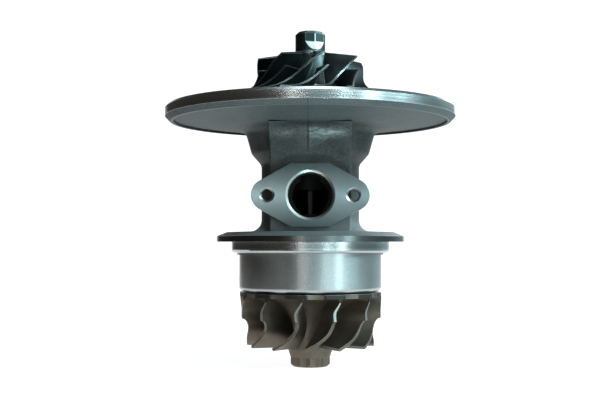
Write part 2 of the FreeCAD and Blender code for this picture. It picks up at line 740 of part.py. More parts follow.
def shaft():
    low = f"-{TURBINE_BACK}"
    boss_top = f"-({TURBINE_BACK} - seal_boss_length)"
    neck_top = f"-({TURBINE_BACK} - seal_boss_length - slinger_height)"
    relief = "journal_radius - shaft_relief_depth"
    relief_low = f"{TURBINE_BEARING_END} + shaft_relief_margin"
    relief_high = f"{COMPRESSOR_BEARING} - shaft_relief_margin"
    stub_top = f"{THROWER_TOP} + compressor_back_boss"
    body = turned("shaft", [
        ("0", low),
        (SEAL_BOSS, low),
        (SEAL_BOSS, boss_top),
        ("shaft_neck_radius", boss_top),
        ("shaft_neck_radius", neck_top),
        ("journal_radius", neck_top),
        ("journal_radius", relief_low),
        (relief, f"{relief_low} + shaft_relief_depth"),
        (relief, f"{relief_high} - shaft_relief_depth"),
        ("journal_radius", relief_high),
        ("journal_radius", COLLAR_FOOT),
        ("stub_radius", COLLAR_FOOT),
        ("stub_radius", stub_top),
        ("thread_radius", stub_top),
        ("thread_radius", f"{stub_top} + thread_length - shaft_chamfer"),
        ("thread_radius - shaft_chamfer", f"{stub_top} + thread_length"),
        ("0", f"{stub_top} + thread_length")])
    for number in range(2):
        ring_groove(body, f"seal_groove_{number + 1}", SEAL_BOSS,
                    f"{turbine_ring_low(number)} - ring_side_gap",
                    "(turbine_ring_width + 2 * ring_side_gap)", GROOVE_DEPTH)
    return body


def split_ring(label, inner, outer, low, high, slit):
    """A ring with a narrow slit on the -Y side."""
    body = turned(label, [(inner, low), (outer, low), (outer, high), (inner, high)])
    gap = outline(body, f"{label}_slit_outline", "XZ_Plane", [
        (f"-{slit} / 2", f"{low} - {OVERCUT}"), (f"{slit} / 2", f"{low} - {OVERCUT}"),
        (f"{slit} / 2", f"{high} + {OVERCUT}"), (f"-{slit} / 2", f"{high} + {OVERCUT}")])
    feature(body, "Pocket", f"{label}_slit", gap, Length=f"{outer} + {OVERCUT}", Reversed=True)
    return body


def turbine_piston_rings():
    for number in range(2):
        low = turbine_ring_low(number)
        split_ring(f"turbine_piston_ring_{number + 1}", "(seal_bore_radius - turbine_ring_depth)",
                   "seal_bore_radius", low, f"{low} + turbine_ring_width", "ring_slit")


# Floating bearings
# Plain bronze bushes that float on oil both inside and outside, with radial oil holes.
def journal_bearing(label, low):
    body = turned(label, [
        ("journal_radius + journal_clearance", low),
        ("bearing_outer_radius", low),
        ("bearing_outer_radius", f"{low} + bearing_length"),
        ("journal_radius + journal_clearance", f"{low} + bearing_length")])
    hole = circles(body, f"{label}_hole_circle", "XZ_Plane",
                   [("0", f"{low} + bearing_length / 2", "bearing_hole_radius")])
    drilled = feature(body, "Pocket", f"{label}_hole", hole,
                      Length=f"bearing_outer_radius + {OVERCUT}", Reversed=True)
    pattern = body.newObject("PartDesign::PolarPattern", f"{label}_holes")
    pattern.Originals = [drilled]
    pattern.Axis = (hole, ["V_Axis"])
    pattern.Angle = 360
    pattern.setExpression("Occurrences", bound("bearing_hole_count"))
    body.Tip = pattern
    doc.recompute()
    return body


def bearing_circlips():
    places = [
        "turbine_bearing_height - bearing_end_gap - circlip_wire",
        f"{TURBINE_BEARING_END} + bearing_end_gap",
        f"{COMPRESSOR_BEARING} - bearing_end_gap - circlip_wire",
        f"{COMPRESSOR_BEARING_END} + bearing_end_gap",
    ]
    outer = f"({BEARING_BORE} + circlip_depth - circlip_fit)"
    for number, low in enumerate(places, start=1):
        split_ring(f"bearing_circlip_{number}", f"({BEARING_BORE} - circlip_stand)", outer,
                   f"({low})", f"({low} + circlip_wire)", "circlip_opening")


# Thrust parts
# A fixed bronze plate between the collar's face and the oil thrower's face takes the end thrust.
def thrust_collar():
    bore = "stub_radius + stub_clearance"
    face = f"{COLLAR_FOOT} + collar_thickness"
    return turned("thrust_collar", [
        (bore, COLLAR_FOOT),
        ("collar_radius", COLLAR_FOOT),
        ("collar_radius", face),
        ("collar_hub_radius", face),
        ("collar_hub_radius", f"{THRUST_PLATE_TOP} + thrust_end_gap"),
        (bore, f"{THRUST_PLATE_TOP} + thrust_end_gap")])


def thrust_bearing():
    body = turned("thrust_bearing", [
        ("collar_hub_radius + thrust_bore_clearance", THRUST_SEAT),
        ("thrust_plate_radius", THRUST_SEAT),
        ("thrust_plate_radius", THRUST_PLATE_TOP),
        ("collar_hub_radius + thrust_bore_clearance", THRUST_PLATE_TOP)])
    cut = outline(body, "thrust_drain_cut_outline", "XZ_Plane", [
        ("-thrust_drain_width / 2", f"{THRUST_SEAT} - {OVERCUT}"),
        ("thrust_drain_width / 2", f"{THRUST_SEAT} - {OVERCUT}"),
        ("thrust_drain_width / 2", f"{THRUST_PLATE_TOP} + {OVERCUT}"),
        ("-thrust_drain_width / 2", f"{THRUST_PLATE_TOP} + {OVERCUT}")], f"collar_radius + {OVERCUT}")
    feature(body, "Pocket", "thrust_drain_cut", cut, Length="thrust_plate_radius", Reversed=True)
    pins = circles(body, "thrust_pin_circles", "XY_Plane", [
        ("-pin_offset", "0", "pin_radius"), ("pin_offset", "0", "pin_radius")],
        THRUST_PLATE_TOP)
    feature(body, "Pocket", "thrust_pin_holes", pins, Length=f"thrust_plate_thickness + {OVERCUT}")
    groove = outline(body, "pad_groove_outline", "XY_Plane", [
        ("collar_hub_radius", "-thrust_pad_groove / 2"),
        ("thrower_radius", "-thrust_pad_groove / 2"),
        ("thrower_radius", "thrust_pad_groove / 2"),
        ("collar_hub_radius", "thrust_pad_groove / 2")], THRUST_PLATE_TOP)
    feed = circles(body, "thrust_feed_circle", "XY_Plane",
                   [("0", "gallery_offset", "thrust_feed_radius")], THRUST_SEAT)
    feature(body, "Pocket", "thrust_feed", feed, Length="thrust_feed_depth", Reversed=True)
    middle = f"{THRUST_SEAT} + thrust_feed_depth / 2"
    cross = circles(body, "thrust_cross_circle", "XZ_Plane",
                    [("0", middle, "thrust_cross_radius")], "-gallery_offset")
    feature(body, "Pocket", "thrust_cross_drilling", cross, Length="gallery_offset", Reversed=True)
    cut_groove = feature(body, "Pocket", "pad_groove", groove, Length="thrust_pad_groove_depth")
    pattern = body.newObject("PartDesign::PolarPattern", "pad_grooves")
    pattern.Originals = [cut_groove]
    pattern.Axis = (groove, ["N_Axis"])
    pattern.Angle = 360
    pattern.setExpression("Occurrences", bound("thrust_pad_count"))
    body.Tip = pattern
    doc.recompute()
    return body


def thrust_bearing_pins():
    """Two locating pins, one solid each, in one node."""
    pins = []
    for side, number in ((-1, 1), (1, 2)):
        pin = doc.addObject("Part::Cylinder", f"thrust_pin_{number}")
        pin.setExpression("Radius", bound("pin_radius"))
        pin.setExpression("Height", bound("pin_length"))
        pin.setExpression("Placement.Base.x", bound(f"{side} * pin_offset"))
        pin.setExpression("Placement.Base.z", bound(f"{THRUST_SEAT} + pin_stand - pin_length"))
        pins.append(pin)
    pair = doc.addObject("Part::Compound", "thrust_bearing_pins")
    pair.Label = "thrust_bearing_pins"
    pair.Links = pins
    doc.recompute()
    return pair


def oil_baffle():
    """A pressed cap round the thrower, cut away at the drain side."""
    inner = "thrust_plate_radius - baffle_wall"
    top = SEAL_SEAT
    body = turned("oil_baffle", [
        (inner, THRUST_PLATE_TOP),
        ("thrust_plate_radius", THRUST_PLATE_TOP),
        ("thrust_plate_radius", top),
        ("baffle_hole_radius", top),
        ("baffle_hole_radius", f"{top} - baffle_wall"),
        (inner, f"{top} - baffle_wall")])
    window = outline(body, "baffle_window_outline", "XZ_Plane", [
        ("-thrust_drain_width / 2", f"{THRUST_PLATE_TOP} - {OVERCUT}"),
        ("thrust_drain_width / 2", f"{THRUST_PLATE_TOP} - {OVERCUT}"),
        ("thrust_drain_width / 2", f"{top} - baffle_wall"),
        ("-thrust_drain_width / 2", f"{top} - baffle_wall")], f"collar_radius + {OVERCUT}")
    feature(body, "Pocket", "baffle_window", window, Length="thrust_plate_radius", Reversed=True)
    return body


def compressor_ring_low():
    return f"({SEAL_PLATE_TOP} - compressor_ring_inset)"


def oil_thrower():
    bore = "stub_radius + stub_clearance"
    low = f"{THRUST_PLATE_TOP} + thrust_end_gap"
    body = turned("oil_thrower", [
        (bore, low),
        ("thrower_radius", low),
        ("thrower_radius", f"{low} + thrower_flange"),
        ("thrower_hub_radius", f"{low} + thrower_flange"),
        ("thrower_hub_radius", THROWER_TOP),
        (bore, THROWER_TOP)])
    ring_groove(body, "compressor_seal_groove", "thrower_hub_radius",
                f"{compressor_ring_low()} - ring_side_gap",
                "(compressor_ring_width + 2 * ring_side_gap)",
                "(compressor_ring_depth + ring_back_gap - seal_ring_bore_clearance)")
    return body


def compressor_piston_ring():
    low = compressor_ring_low()
    return split_ring("compressor_piston_ring", f"({SEAL_RING_BORE} - compressor_ring_depth)",
                      SEAL_RING_BORE, low, f"({low} + compressor_ring_width)", "ring_slit")


# Seal plate
# A turned iron plate that closes the housing behind the compressor wheel, with an O-ring round it
# and a large internal circlip over it.
def seal_plate():
    top = SEAL_PLATE_TOP
    body = turned("seal_plate", [
        (SEAL_RING_BORE, SEAL_SEAT),
        ("seal_plate_radius - seal_plate_bevel", SEAL_SEAT),
        ("seal_plate_radius", f"{SEAL_SEAT} + seal_plate_bevel"),
        ("seal_plate_radius", top),
        ("seal_plate_hub_radius", top),
        ("seal_plate_hub_radius", f"{top} + seal_plate_hub_rise"),
        (SEAL_RING_BORE, f"{top} + seal_plate_hub_rise")])
    ring_groove(body, "o_ring_groove", "seal_plate_radius",
                f"({SEAL_SEAT} + o_ring_inset)", "(o_ring_section + 2 * o_ring_squeeze)",
                "o_ring_groove_depth")
    return body


def seal_plate_o_ring():
    low = f"({SEAL_SEAT} + o_ring_inset + o_ring_squeeze)"
    inner = "seal_plate_radius - o_ring_groove_depth"
    body = turned("seal_plate_o_ring", [
        (inner, low),
        (SEAL_RECESS, low),
        (SEAL_RECESS, f"{low} + o_ring_section"),
        (inner, f"{low} + o_ring_section")])
    corners = []
    for radius in (value_of(inner), value_of(SEAL_RECESS)):
        for height in (value_of(low), value_of(f"{low} + o_ring_section")):
            corners.append((radius, height))
    dress(body, "Fillet", "o_ring_rounds", "o_ring_groove_depth * 0.45",
          ring_edges(body.Tip.Shape, corners))
    return body


def seal_plate_circlip():
    outer = f"({SEAL_RECESS} + plate_circlip_depth - circlip_fit)"
    inner = f"({SEAL_RECESS} - plate_circlip_stand)"
    top = f"({SEAL_PLATE_TOP} + plate_circlip_thickness)"
    return split_ring("seal_plate_circlip", inner, outer, SEAL_PLATE_TOP, top,
                      "plate_circlip_opening")


# Wheel blades
# A blade is lofted through flat four-cornered sections, each across the blade from hub to tip.
# Angles run from -Y towards +X.
def polar(radius, angle, height):
    turn = math.radians(angle)
    return FreeCAD.Vector(radius * math.sin(turn), -radius * math.cos(turn), height)


def blade_section(hub, tip, ahead, root_half, tip_half):
    """One section: hub and tip points thickened square to the blade's surface."""
    side = (tip - hub).cross(ahead)
    side.normalize()
    corners = [hub + side * root_half, tip + side * tip_half,
               tip - side * tip_half, hub - side * root_half]
    return Part.makePolygon(corners + corners[:1])


def lofted_blade(line, stations, root_half, tip_half):
    """Loft a blade; line gives the hub and tip points at a station from 0 to 1."""
    step = 0.002
    sections = []
    for station in stations:
        hub, tip = line(station)
        hub_next, tip_next = line(station + step)
        ahead = (hub_next + tip_next) - (hub + tip)
        sections.append(blade_section(hub, tip, ahead, root_half, tip_half))
    return Part.makeLoft(sections, True, False)


def spread(first, last, count):
    return [first + (last - first) * number / (count - 1) for number in range(count)]


def around(shape, count, turn=0.0):
    """Copies of a shape, evenly spaced about Z."""
    copies = []
    for number in range(int(count)):
        copy = shape.copy()
        copy.rotate(FreeCAD.Vector(), FreeCAD.Vector(0, 0, 1), turn + 360.0 * number / int(count))
        copies.append(copy)
    return copies


def revolved(edges):
    """A solid turned about Z from edges in the XZ plane."""
    face = Part.Face(Part.Wire(edges))
    return face.revolve(FreeCAD.Vector(), FreeCAD.Vector(0, 0, 1), 360)


def flat(radius, height):
    return FreeCAD.Vector(radius, 0, height)


def quarter(centre_radius, centre_height, across, up, inner_first):
    """A quarter ellipse that bulges towards the axis, from its inner end to its outer end."""
    points = []
    for number in range(9):
        turn = math.pi / 2 * number / 8
        points.append(flat(centre_radius - across * math.cos(turn),
                           centre_height + up * math.sin(turn)))
    if not inner_first:
        points.reverse()
    curve = Part.BSplineCurve()
    curve.interpolate(points)
    return curve.toShape()


def shape_feature(label, shape):
    made = doc.addObject("Part::Feature", label)
    made.Label = label
    made.Shape = shape
    return made


# Turbine wheel
# A cast nickel-alloy radial wheel with radial blades, a scalloped back disc and a twelve-point
# nose that the assembler holds with a socket.
def turbine_blade():
    back = -value_of(TURBINE_BACK)
    power = size("turbine_wrap_power")
    straight = size("turbine_inlet_width") / size("turbine_length")
    beyond = size("turbine_radius") + OVERCUT
    inside = size("turbine_hub_radius") * 0.6

    def line(station):
        swept = max(0.0, (station - straight) / (1 - straight))
        angle = size("turbine_blade_angle") - size("turbine_wrap") * swept ** power
        height = back - size("turbine_length") * station
        return polar(inside, angle, height), polar(beyond, angle, height)

    stations = [0.02, 0.3] + spread(straight + 0.02, 1.0, 9)
    return lofted_blade(line, stations, size("turbine_blade_root") / 2, size("turbine_blade_tip") / 2)


def turbine_envelope():
    """What the shroud's contour leaves of the blades."""
    back = -value_of(TURBINE_BACK)
    rim = size("turbine_radius")
    exducer = size("turbine_exducer_radius")
    inlet = back - size("turbine_inlet_width")
    start = back - size("turbine_exducer_start")
    end = back - size("turbine_length") - OVERCUT
    return revolved([
        Part.makeLine(flat(0, back), flat(rim, back)),
        Part.makeLine(flat(rim, back), flat(rim, inlet)),
        quarter(rim, start, rim - exducer, inlet - start, False),
        Part.makeLine(flat(exducer, start), flat(exducer, end)),
        Part.makeLine(flat(exducer, end), flat(0, end)),
        Part.makeLine(flat(0, end), flat(0, back))])


def turbine_hub():
    back = -value_of(TURBINE_BACK)
    rim = size("turbine_radius")
    disc = back - size("turbine_disc_thickness")
    nose = back - size("turbine_hub_length")
    hub = size("turbine_hub_radius")
    tip = nose - size("turbine_nose_length")
    return revolved([
        Part.makeLine(flat(0, back), flat(rim, back)),
        Part.makeLine(flat(rim, back), flat(rim, disc)),
        quarter(rim, nose, rim - hub, disc - nose, False),
        Part.makeLine(flat(hub, nose), flat(size("turbine_nose_radius"), tip)),
        Part.makeLine(flat(size("turbine_nose_radius"), tip), flat(0, tip)),
        Part.makeLine(flat(0, tip), flat(0, back))])


def turbine_wrench():
    """Twelve-point nose: two hexagonal bars at 30 degrees, bevelled at the free end."""
    top = -value_of(TURBINE_BACK) - size("turbine_hub_length") - size("turbine_nose_length")
    radius = size("wrench_radius")
    bevel = size("wrench_bevel")
    low = top - size("wrench_length")
    bars = []
    for turn in (0, 30):
        corners = [polar(radius, turn + 60 * number, low) for number in range(6)]
        bar = Part.Face(Part.makePolygon(corners + corners[:1])).extrude(
            FreeCAD.Vector(0, 0, top - low + OVERCUT))
        bars.append(bar)
    star = bars[0].fuse(bars[1])
    bevelled = revolved([
        Part.makeLine(flat(0, low), flat(radius - bevel, low)),
        Part.makeLine(flat(radius - bevel, low), flat(radius, low + bevel)),
        Part.makeLine(flat(radius, low + bevel), flat(radius, top + OVERCUT)),
        Part.makeLine(flat(radius, top + OVERCUT), flat(0, top + OVERCUT)),
        Part.makeLine(flat(0, top + OVERCUT), flat(0, low))])
    return star.common(bevelled)


def turbine_wheel():
    count = size("turbine_blade_count")
    blades = Part.makeCompound(around(turbine_blade(), count))
    trimmed = blades.common(turbine_envelope())
    back = -value_of(TURBINE_BACK)
    reach = size("turbine_radius") - size("turbine_disc_scallop") + size("turbine_scallop_radius")
    between = size("turbine_blade_angle") + 180.0 / count
    scallop = Part.makeCylinder(size("turbine_scallop_radius"), size("turbine_inlet_width"),
                                polar(reach, between, back - size("turbine_inlet_width") + OVERCUT))
    hub = turbine_hub().cut(Part.makeCompound(around(scallop, count)))
    solid = hub.fuse([trimmed, turbine_wrench()]).removeSplitter()
    return shape_feature("turbine_wheel", solid)


# Compressor wheel
# A milled aluminium wheel with full blades and splitters. Its bore is blind, so the nose is
# whole, with two balance cuts in it.
def wrap_at(station, early, late, whole):
    """Blade angle swept so far, as a smooth curve through two guide angles."""
    rest = 1 - station
    return 3 * rest * rest * station * early + 3 * rest * station ** 2 * late + station ** 3 * whole


def compressor_datum():
    return value_of(THROWER_TOP) + size("compressor_back_boss")


def compressor_line(station):
    base = compressor_datum()
    rim = size("compressor_radius")
    floor = base + size("compressor_disc_thickness")
    turn = math.pi / 2 * station
    hub_across = rim - size("compressor_hub_radius")
    hub_radius = rim - hub_across * math.cos(turn)
    hub_height = floor + size("compressor_hub_rise") * (1 - math.sin(turn))
    tip_floor = floor + size("compressor_tip_width")
    straight = size("inducer_straight")
    across = rim - size("inducer_radius")
    rise = size("shroud_rise")
    arc = math.pi / 2 * math.sqrt((across ** 2 + rise ** 2) / 2)
    run = station * (straight + arc)
    if run < straight:
        tip_radius = size("inducer_radius")
        tip_height = tip_floor + rise + straight - run
    else:
        bend = math.pi / 2 * (run - straight) / arc
        tip_radius = rim - across * math.cos(bend)
        tip_height = tip_floor + rise * (1 - math.sin(bend))
    early, late = size("compressor_wrap_early"), size("compressor_wrap_late")
    angle = size("compressor_blade_angle") - wrap_at(station, early, late, size("compressor_wrap"))
    hub = polar(hub_radius, angle, hub_height)
    tip = polar(tip_radius, angle, tip_height)
    inward = (hub - tip)
    inward.normalize()
    return hub + inward * OVERCUT, tip


def compressor_hub():
    base = compressor_datum()
    low = value_of(THROWER_TOP)
    rim = size("compressor_radius")
    floor = base + size("compressor_disc_thickness")
    hub = size("compressor_hub_radius")
    top = floor + size("compressor_hub_rise")
    nose = size("nose_radius")
    end = top + size("nose_length")
    bevel = size("nose_bevel")
    bore = size("thread_radius") + size("stub_clearance")
    counterbore = size("stub_radius") + size("stub_clearance")
    bore_top = base + size("thread_length") + size("blind_bore_extra")
    boss = size("compressor_boss_radius")
    return revolved([
        Part.makeLine(flat(counterbore, low), flat(boss, low)),
        Part.makeLine(flat(boss, low), flat(boss, base)),
        Part.makeLine(flat(boss, base), flat(rim, base)),
        Part.makeLine(flat(rim, base), flat(rim, floor)),
        quarter(rim, top, rim - hub, floor - top, False),
        Part.makeLine(flat(hub, top), flat(nose, top + hub - nose)),
        Part.makeLine(flat(nose, top + hub - nose), flat(nose, end - bevel)),
        Part.makeLine(flat(nose, end - bevel), flat(nose - bevel, end)),
        Part.makeLine(flat(nose - bevel, end), flat(0, end)),
        Part.makeLine(flat(0, end), flat(0, bore_top)),
        Part.makeLine(flat(0, bore_top), flat(bore, bore_top)),
        Part.makeLine(flat(bore, bore_top), flat(bore, base)),
        Part.makeLine(flat(bore, base), flat(counterbore, base)),
        Part.makeLine(flat(counterbore, base), flat(counterbore, low))])


def balance_cut(angle, top):
    """A flat milled on the nose, with a slanted run-out at its foot."""
    near = size("nose_radius") - size("balance_depth")
    far = size("nose_radius") + OVERCUT
    foot = top - size("balance_height")
    slant = size("balance_run_out") * (far - near) / size("balance_depth")
    half = size("nose_radius")
    corners = [(near, top + OVERCUT), (near, foot), (far, foot - slant), (far, top + OVERCUT)]
    points = [FreeCAD.Vector(-half, -radius, height) for radius, height in corners]
    cut = Part.Face(Part.makePolygon(points + points[:1])).extrude(FreeCAD.Vector(2 * half, 0, 0))
    cut.rotate(FreeCAD.Vector(), FreeCAD.Vector(0, 0, 1), angle)
    return cut


def compressor_wheel():
    count = size("compressor_blade_count")
    root_half = size("compressor_blade_root") / 2
    tip_half = size("compressor_blade_tip") / 2
    full = lofted_blade(compressor_line, spread(0.0, 1.0, 12), root_half, tip_half)
    start = size("splitter_start")
    splitter = lofted_blade(compressor_line, spread(start, 1.0, 10), root_half, tip_half)
    blades = around(full, count) + around(splitter, count, 180.0 / count)
    nose_foot = compressor_datum() + size("compressor_disc_thickness") + size("compressor_hub_rise")
    top = nose_foot + size("nose_length")
    hub = compressor_hub()
    for number in range(2):
        angle = size("balance_angle") + number * size("balance_angle_step")
        hub = hub.cut(balance_cut(angle, top))
    solid = hub.fuse(blades).removeSplitter()
    return shape_feature("compressor_wheel", solid)


bearing_housing()
heat_shield()
turbine_wheel()
shaft()
compressor_wheel()
turbine_piston_rings()
journal_bearing("turbine_journal_bearing", "turbine_bearing_height")
journal_bearing("compressor_journal_bearing", COMPRESSOR_BEARING)
bearing_circlips()
thrust_collar()
thrust_bearing()
thrust_bearing_pins()
oil_baffle()
oil_thrower()
compressor_piston_ring()
seal_plate()
seal_plate_o_ring()
seal_plate_circlip()
doc.recompute()

NODES = [
    "bearing_housing", "heat_shield", "turbine_wheel", "shaft", "compressor_wheel",
    "turbine_piston_ring_1", "turbine_piston_ring_2",
    "turbine_journal_bearing", "compressor_journal_bearing",
    "bearing_circlip_1", "bearing_circlip_2", "bearing_circlip_3", "bearing_circlip_4",
    "thrust_collar", "thrust_bearing", "thrust_bearing_pins", "oil_baffle", "oil_thrower",
    "compressor_piston_ring", "seal_plate", "seal_plate_o_ring", "seal_plate_circlip",
]

for item in doc.Objects:
    if "Invalid" in item.State or "Error" in item.State:
        raise ValueError(f"{item.Label} failed: {item.State}")

os.makedirs("parts", exist_ok=True)
for label in NODES:
    shape = doc.getObjectsByLabel(label)[0].Shape
    if shape.isNull() or not shape.isValid():
        raise ValueError(f"{label} has no valid shape")
    shape.exportStep(os.path.join("parts", f"{label}.step"))
    print(f"{label}: {len(shape.Solids)} solids, {shape.Volume:.0f} mm3")
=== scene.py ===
import math

import bpy
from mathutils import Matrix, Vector


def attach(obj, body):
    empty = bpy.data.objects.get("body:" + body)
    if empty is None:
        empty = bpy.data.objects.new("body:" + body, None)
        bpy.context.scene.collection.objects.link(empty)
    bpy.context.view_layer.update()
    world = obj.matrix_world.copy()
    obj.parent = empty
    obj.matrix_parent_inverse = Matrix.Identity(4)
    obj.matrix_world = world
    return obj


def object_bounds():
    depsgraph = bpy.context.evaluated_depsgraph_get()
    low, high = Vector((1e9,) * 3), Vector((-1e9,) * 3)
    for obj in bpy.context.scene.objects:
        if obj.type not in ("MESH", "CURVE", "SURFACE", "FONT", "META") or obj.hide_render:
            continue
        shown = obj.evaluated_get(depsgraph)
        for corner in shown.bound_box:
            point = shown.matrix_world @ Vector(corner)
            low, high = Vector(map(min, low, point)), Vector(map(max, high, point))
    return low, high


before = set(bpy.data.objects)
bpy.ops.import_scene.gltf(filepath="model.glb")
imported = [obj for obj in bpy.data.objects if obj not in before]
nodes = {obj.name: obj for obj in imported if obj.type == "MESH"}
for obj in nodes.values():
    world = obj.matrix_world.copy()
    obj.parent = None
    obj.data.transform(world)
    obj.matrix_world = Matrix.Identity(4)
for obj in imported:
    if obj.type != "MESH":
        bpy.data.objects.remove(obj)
cad_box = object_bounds()
scene = bpy.context.scene

# Camera
# A long lens 0.61 m in front of the shaft axis, level with the underside of the turbine flange.
# The photograph is cropped off centre, so the lens is shifted a little instead of turned.
CAMERA_DISTANCE = 0.610
LENS = 60.24
SENSOR_WIDTH = 36.0
SHIFT_ACROSS = -0.0172
SHIFT_UP = 0.0695
NEAREST = 0.01
camera_data = bpy.data.cameras.new("studio_camera")
camera_data.lens = LENS
camera_data.sensor_width = SENSOR_WIDTH
camera_data.shift_x = SHIFT_ACROSS
camera_data.shift_y = SHIFT_UP
camera_data.clip_start = NEAREST
camera = bpy.data.objects.new("studio_camera", camera_data)
camera.location = (0.0, -CAMERA_DISTANCE, 0.0)
camera.rotation_euler = (math.radians(90), 0.0, 0.0)
scene.collection.objects.link(camera)
scene.camera = camera
scene.view_settings.view_transform = "Standard"


# Floor and backdrop
# Plain white paper: a level floor under the wheel's nose and a sheet hung behind the object.
# The paper shows its white to the camera and in the metal's reflections, and keeps the shadow.
PAPER_WHITE = (1.0, 1.0, 1.0, 1.0)
PAPER_MATTE = (0.36, 0.36, 0.36, 1.0)
FLOOR_GLOW = 0.93
BACKDROP_GLOW = 1.0


def add(tree, kind, links=None, **settings):
    """Add a shader node, set its fields, and wire or set its sockets by name or number."""
    node = tree.nodes.new(kind)
    for key, value in settings.items():
        setattr(node, key, value)
    for socket, source in (links or {}).items():
        if isinstance(source, bpy.types.NodeSocket):
            tree.links.new(source, node.inputs[socket])
        else:
            node.inputs[socket].default_value = source
    return node


def fresh_material(name):
    """A material with an empty node tree and its output node."""
    material = bpy.data.materials.new(name)
    material.use_nodes = True
    tree = material.node_tree
    tree.nodes.clear()
    return material, tree, tree.nodes.new("ShaderNodeOutputMaterial")


def paper(name, glow):
    """White to the camera, to reflections and through glass, and matt to the lamps."""
    material, tree, output = fresh_material(name)
    path = add(tree, "ShaderNodeLightPath").outputs
    seen = add(tree, "ShaderNodeMath", {0: path["Is Camera Ray"], 1: path["Is Glossy Ray"]},
               operation="MAXIMUM")
    seen = add(tree, "ShaderNodeMath", {0: seen.outputs[0], 1: path["Is Transmission Ray"]},
               operation="MAXIMUM")
    shine = add(tree, "ShaderNodeMath", {0: seen.outputs[0], 1: glow}, operation="MULTIPLY")
    light = add(tree, "ShaderNodeEmission", {"Color": PAPER_WHITE, "Strength": shine.outputs[0]})
    matte = add(tree, "ShaderNodeBsdfDiffuse", {"Color": PAPER_MATTE})
    both = add(tree, "ShaderNodeAddShader", {0: light.outputs[0], 1: matte.outputs[0]})
    tree.links.new(both.outputs[0], output.inputs["Surface"])
    return material


def sheet_of_paper(name, corners, glow):
    """A flat sheet of paper through these corners."""
    mesh = bpy.data.meshes.new(name)
    mesh.from_pydata(corners, [], [tuple(range(len(corners)))])
    sheet = bpy.data.objects.new(name, mesh)
    mesh.materials.append(paper(f"{name}_paper", glow))
    scene.collection.objects.link(sheet)


# The floor is a wedge, narrow at the front, so that the walls of the piece reflect the room
# and not only paper
FLOOR_DROP = 0.0002
FLOOR_FRONT = -0.17
FRONT_HALF = 0.18
BACKDROP_PLACE = 1.6
BACKDROP_HALF = 0.75
BACKDROP_TOP = 0.70
floor_height = cad_box[0][2] - FLOOR_DROP
sheet_of_paper("studio_floor", [
    (-FRONT_HALF, FLOOR_FRONT, floor_height),
    (FRONT_HALF, FLOOR_FRONT, floor_height),
    (BACKDROP_HALF, BACKDROP_PLACE, floor_height),
    (-BACKDROP_HALF, BACKDROP_PLACE, floor_height)], FLOOR_GLOW)
sheet_of_paper("studio_backdrop", [
    (-BACKDROP_HALF, BACKDROP_PLACE, floor_height),
    (BACKDROP_HALF, BACKDROP_PLACE, floor_height),
    (BACKDROP_HALF, BACKDROP_PLACE, BACKDROP_TOP),
    (-BACKDROP_HALF, BACKDROP_PLACE, BACKDROP_TOP)], BACKDROP_GLOW)


# Studio light
# A soft room, dim and warm at the left, cool and brighter at the right. Three tall soft boxes draw
# the upright highlights on the turned rims, and a wide flat one draws level lines. Others light the
# right side, the top and the back, and two low ones light the large flange from below.
LEFT_WALL = (0.040, 0.036, 0.031, 1.0)
RIGHT_WALL = (0.17, 0.24, 0.25, 1.0)
# The walls between them: how far across the room each colour stands, from 0 to 1
WALLS_BETWEEN = (
    (0.26, (0.060, 0.056, 0.050, 1.0)),
    (0.50, (0.22, 0.25, 0.255, 1.0)),
    (0.76, (0.31, 0.45, 0.47, 1.0)),
    (0.89, (0.34, 0.48, 0.50, 1.0)),
    (0.96, (0.19, 0.27, 0.28, 1.0)),
)


# Heights, from 0 at eye level to 1 overhead or underfoot, between which the band of light fades
BAND_HEIGHTS = (0.05, 0.75)
BAND_SHINE = (1.25, 0.55)


def room_light():
    """Light from all round: the walls' colours across the room, brightest at eye level."""
    world = bpy.data.worlds.new("studio_room")
    world.use_nodes = True
    tree = world.node_tree
    tree.nodes.clear()
    place = add(tree, "ShaderNodeTexCoord")
    split = add(tree, "ShaderNodeSeparateXYZ", {0: place.outputs["Generated"]})
    across = add(tree, "ShaderNodeMapRange", {
        "Value": split.outputs["X"], "From Min": -1.0, "From Max": 1.0, "To Min": 0.0, "To Max": 1.0})
    walls = add(tree, "ShaderNodeValToRGB", {0: across.outputs[0]})
    walls.color_ramp.elements[0].color = LEFT_WALL
    walls.color_ramp.elements[1].color = RIGHT_WALL
    for position, colour in WALLS_BETWEEN:
        walls.color_ramp.elements.new(position).color = colour
    # A band of light at eye level, dimmer towards the ceiling and the floor
    height = add(tree, "ShaderNodeMath", {0: split.outputs["Z"]}, operation="ABSOLUTE")
    band = add(tree, "ShaderNodeMapRange", {
        "Value": height.outputs[0], "From Min": BAND_HEIGHTS[0], "From Max": BAND_HEIGHTS[1],
        "To Min": BAND_SHINE[0], "To Max": BAND_SHINE[1]})
    shine = add(tree, "ShaderNodeBackground", {"Color": walls.outputs[0], "Strength": band.outputs[0]})
    output = add(tree, "ShaderNodeOutputWorld")
    tree.links.new(shine.outputs[0], output.inputs["Surface"])
    scene.world = world


def lamp(name, azimuth, elevation, distance, size, power, colour):
    """A soft box that faces the object; azimuth 0 is behind the camera and 90 is at its right."""
    data = bpy.data.lights.new(name, "AREA")
    data.shape = "RECTANGLE"
    data.size, data.size_y = size
    data.energy = power
    data.color = colour
    lamp_object = bpy.data.objects.new(name, data)
    turn = math.radians(azimuth)
    rise = math.radians(elevation)
    spot = Vector((math.sin(turn) * math.cos(rise), -math.cos(turn) * math.cos(rise), math.sin(rise)))
    lamp_object.location = spot * distance
    lamp_object.rotation_euler = spot.to_track_quat("Z", "Y").to_euler()
    scene.collection.objects.link(lamp_object)


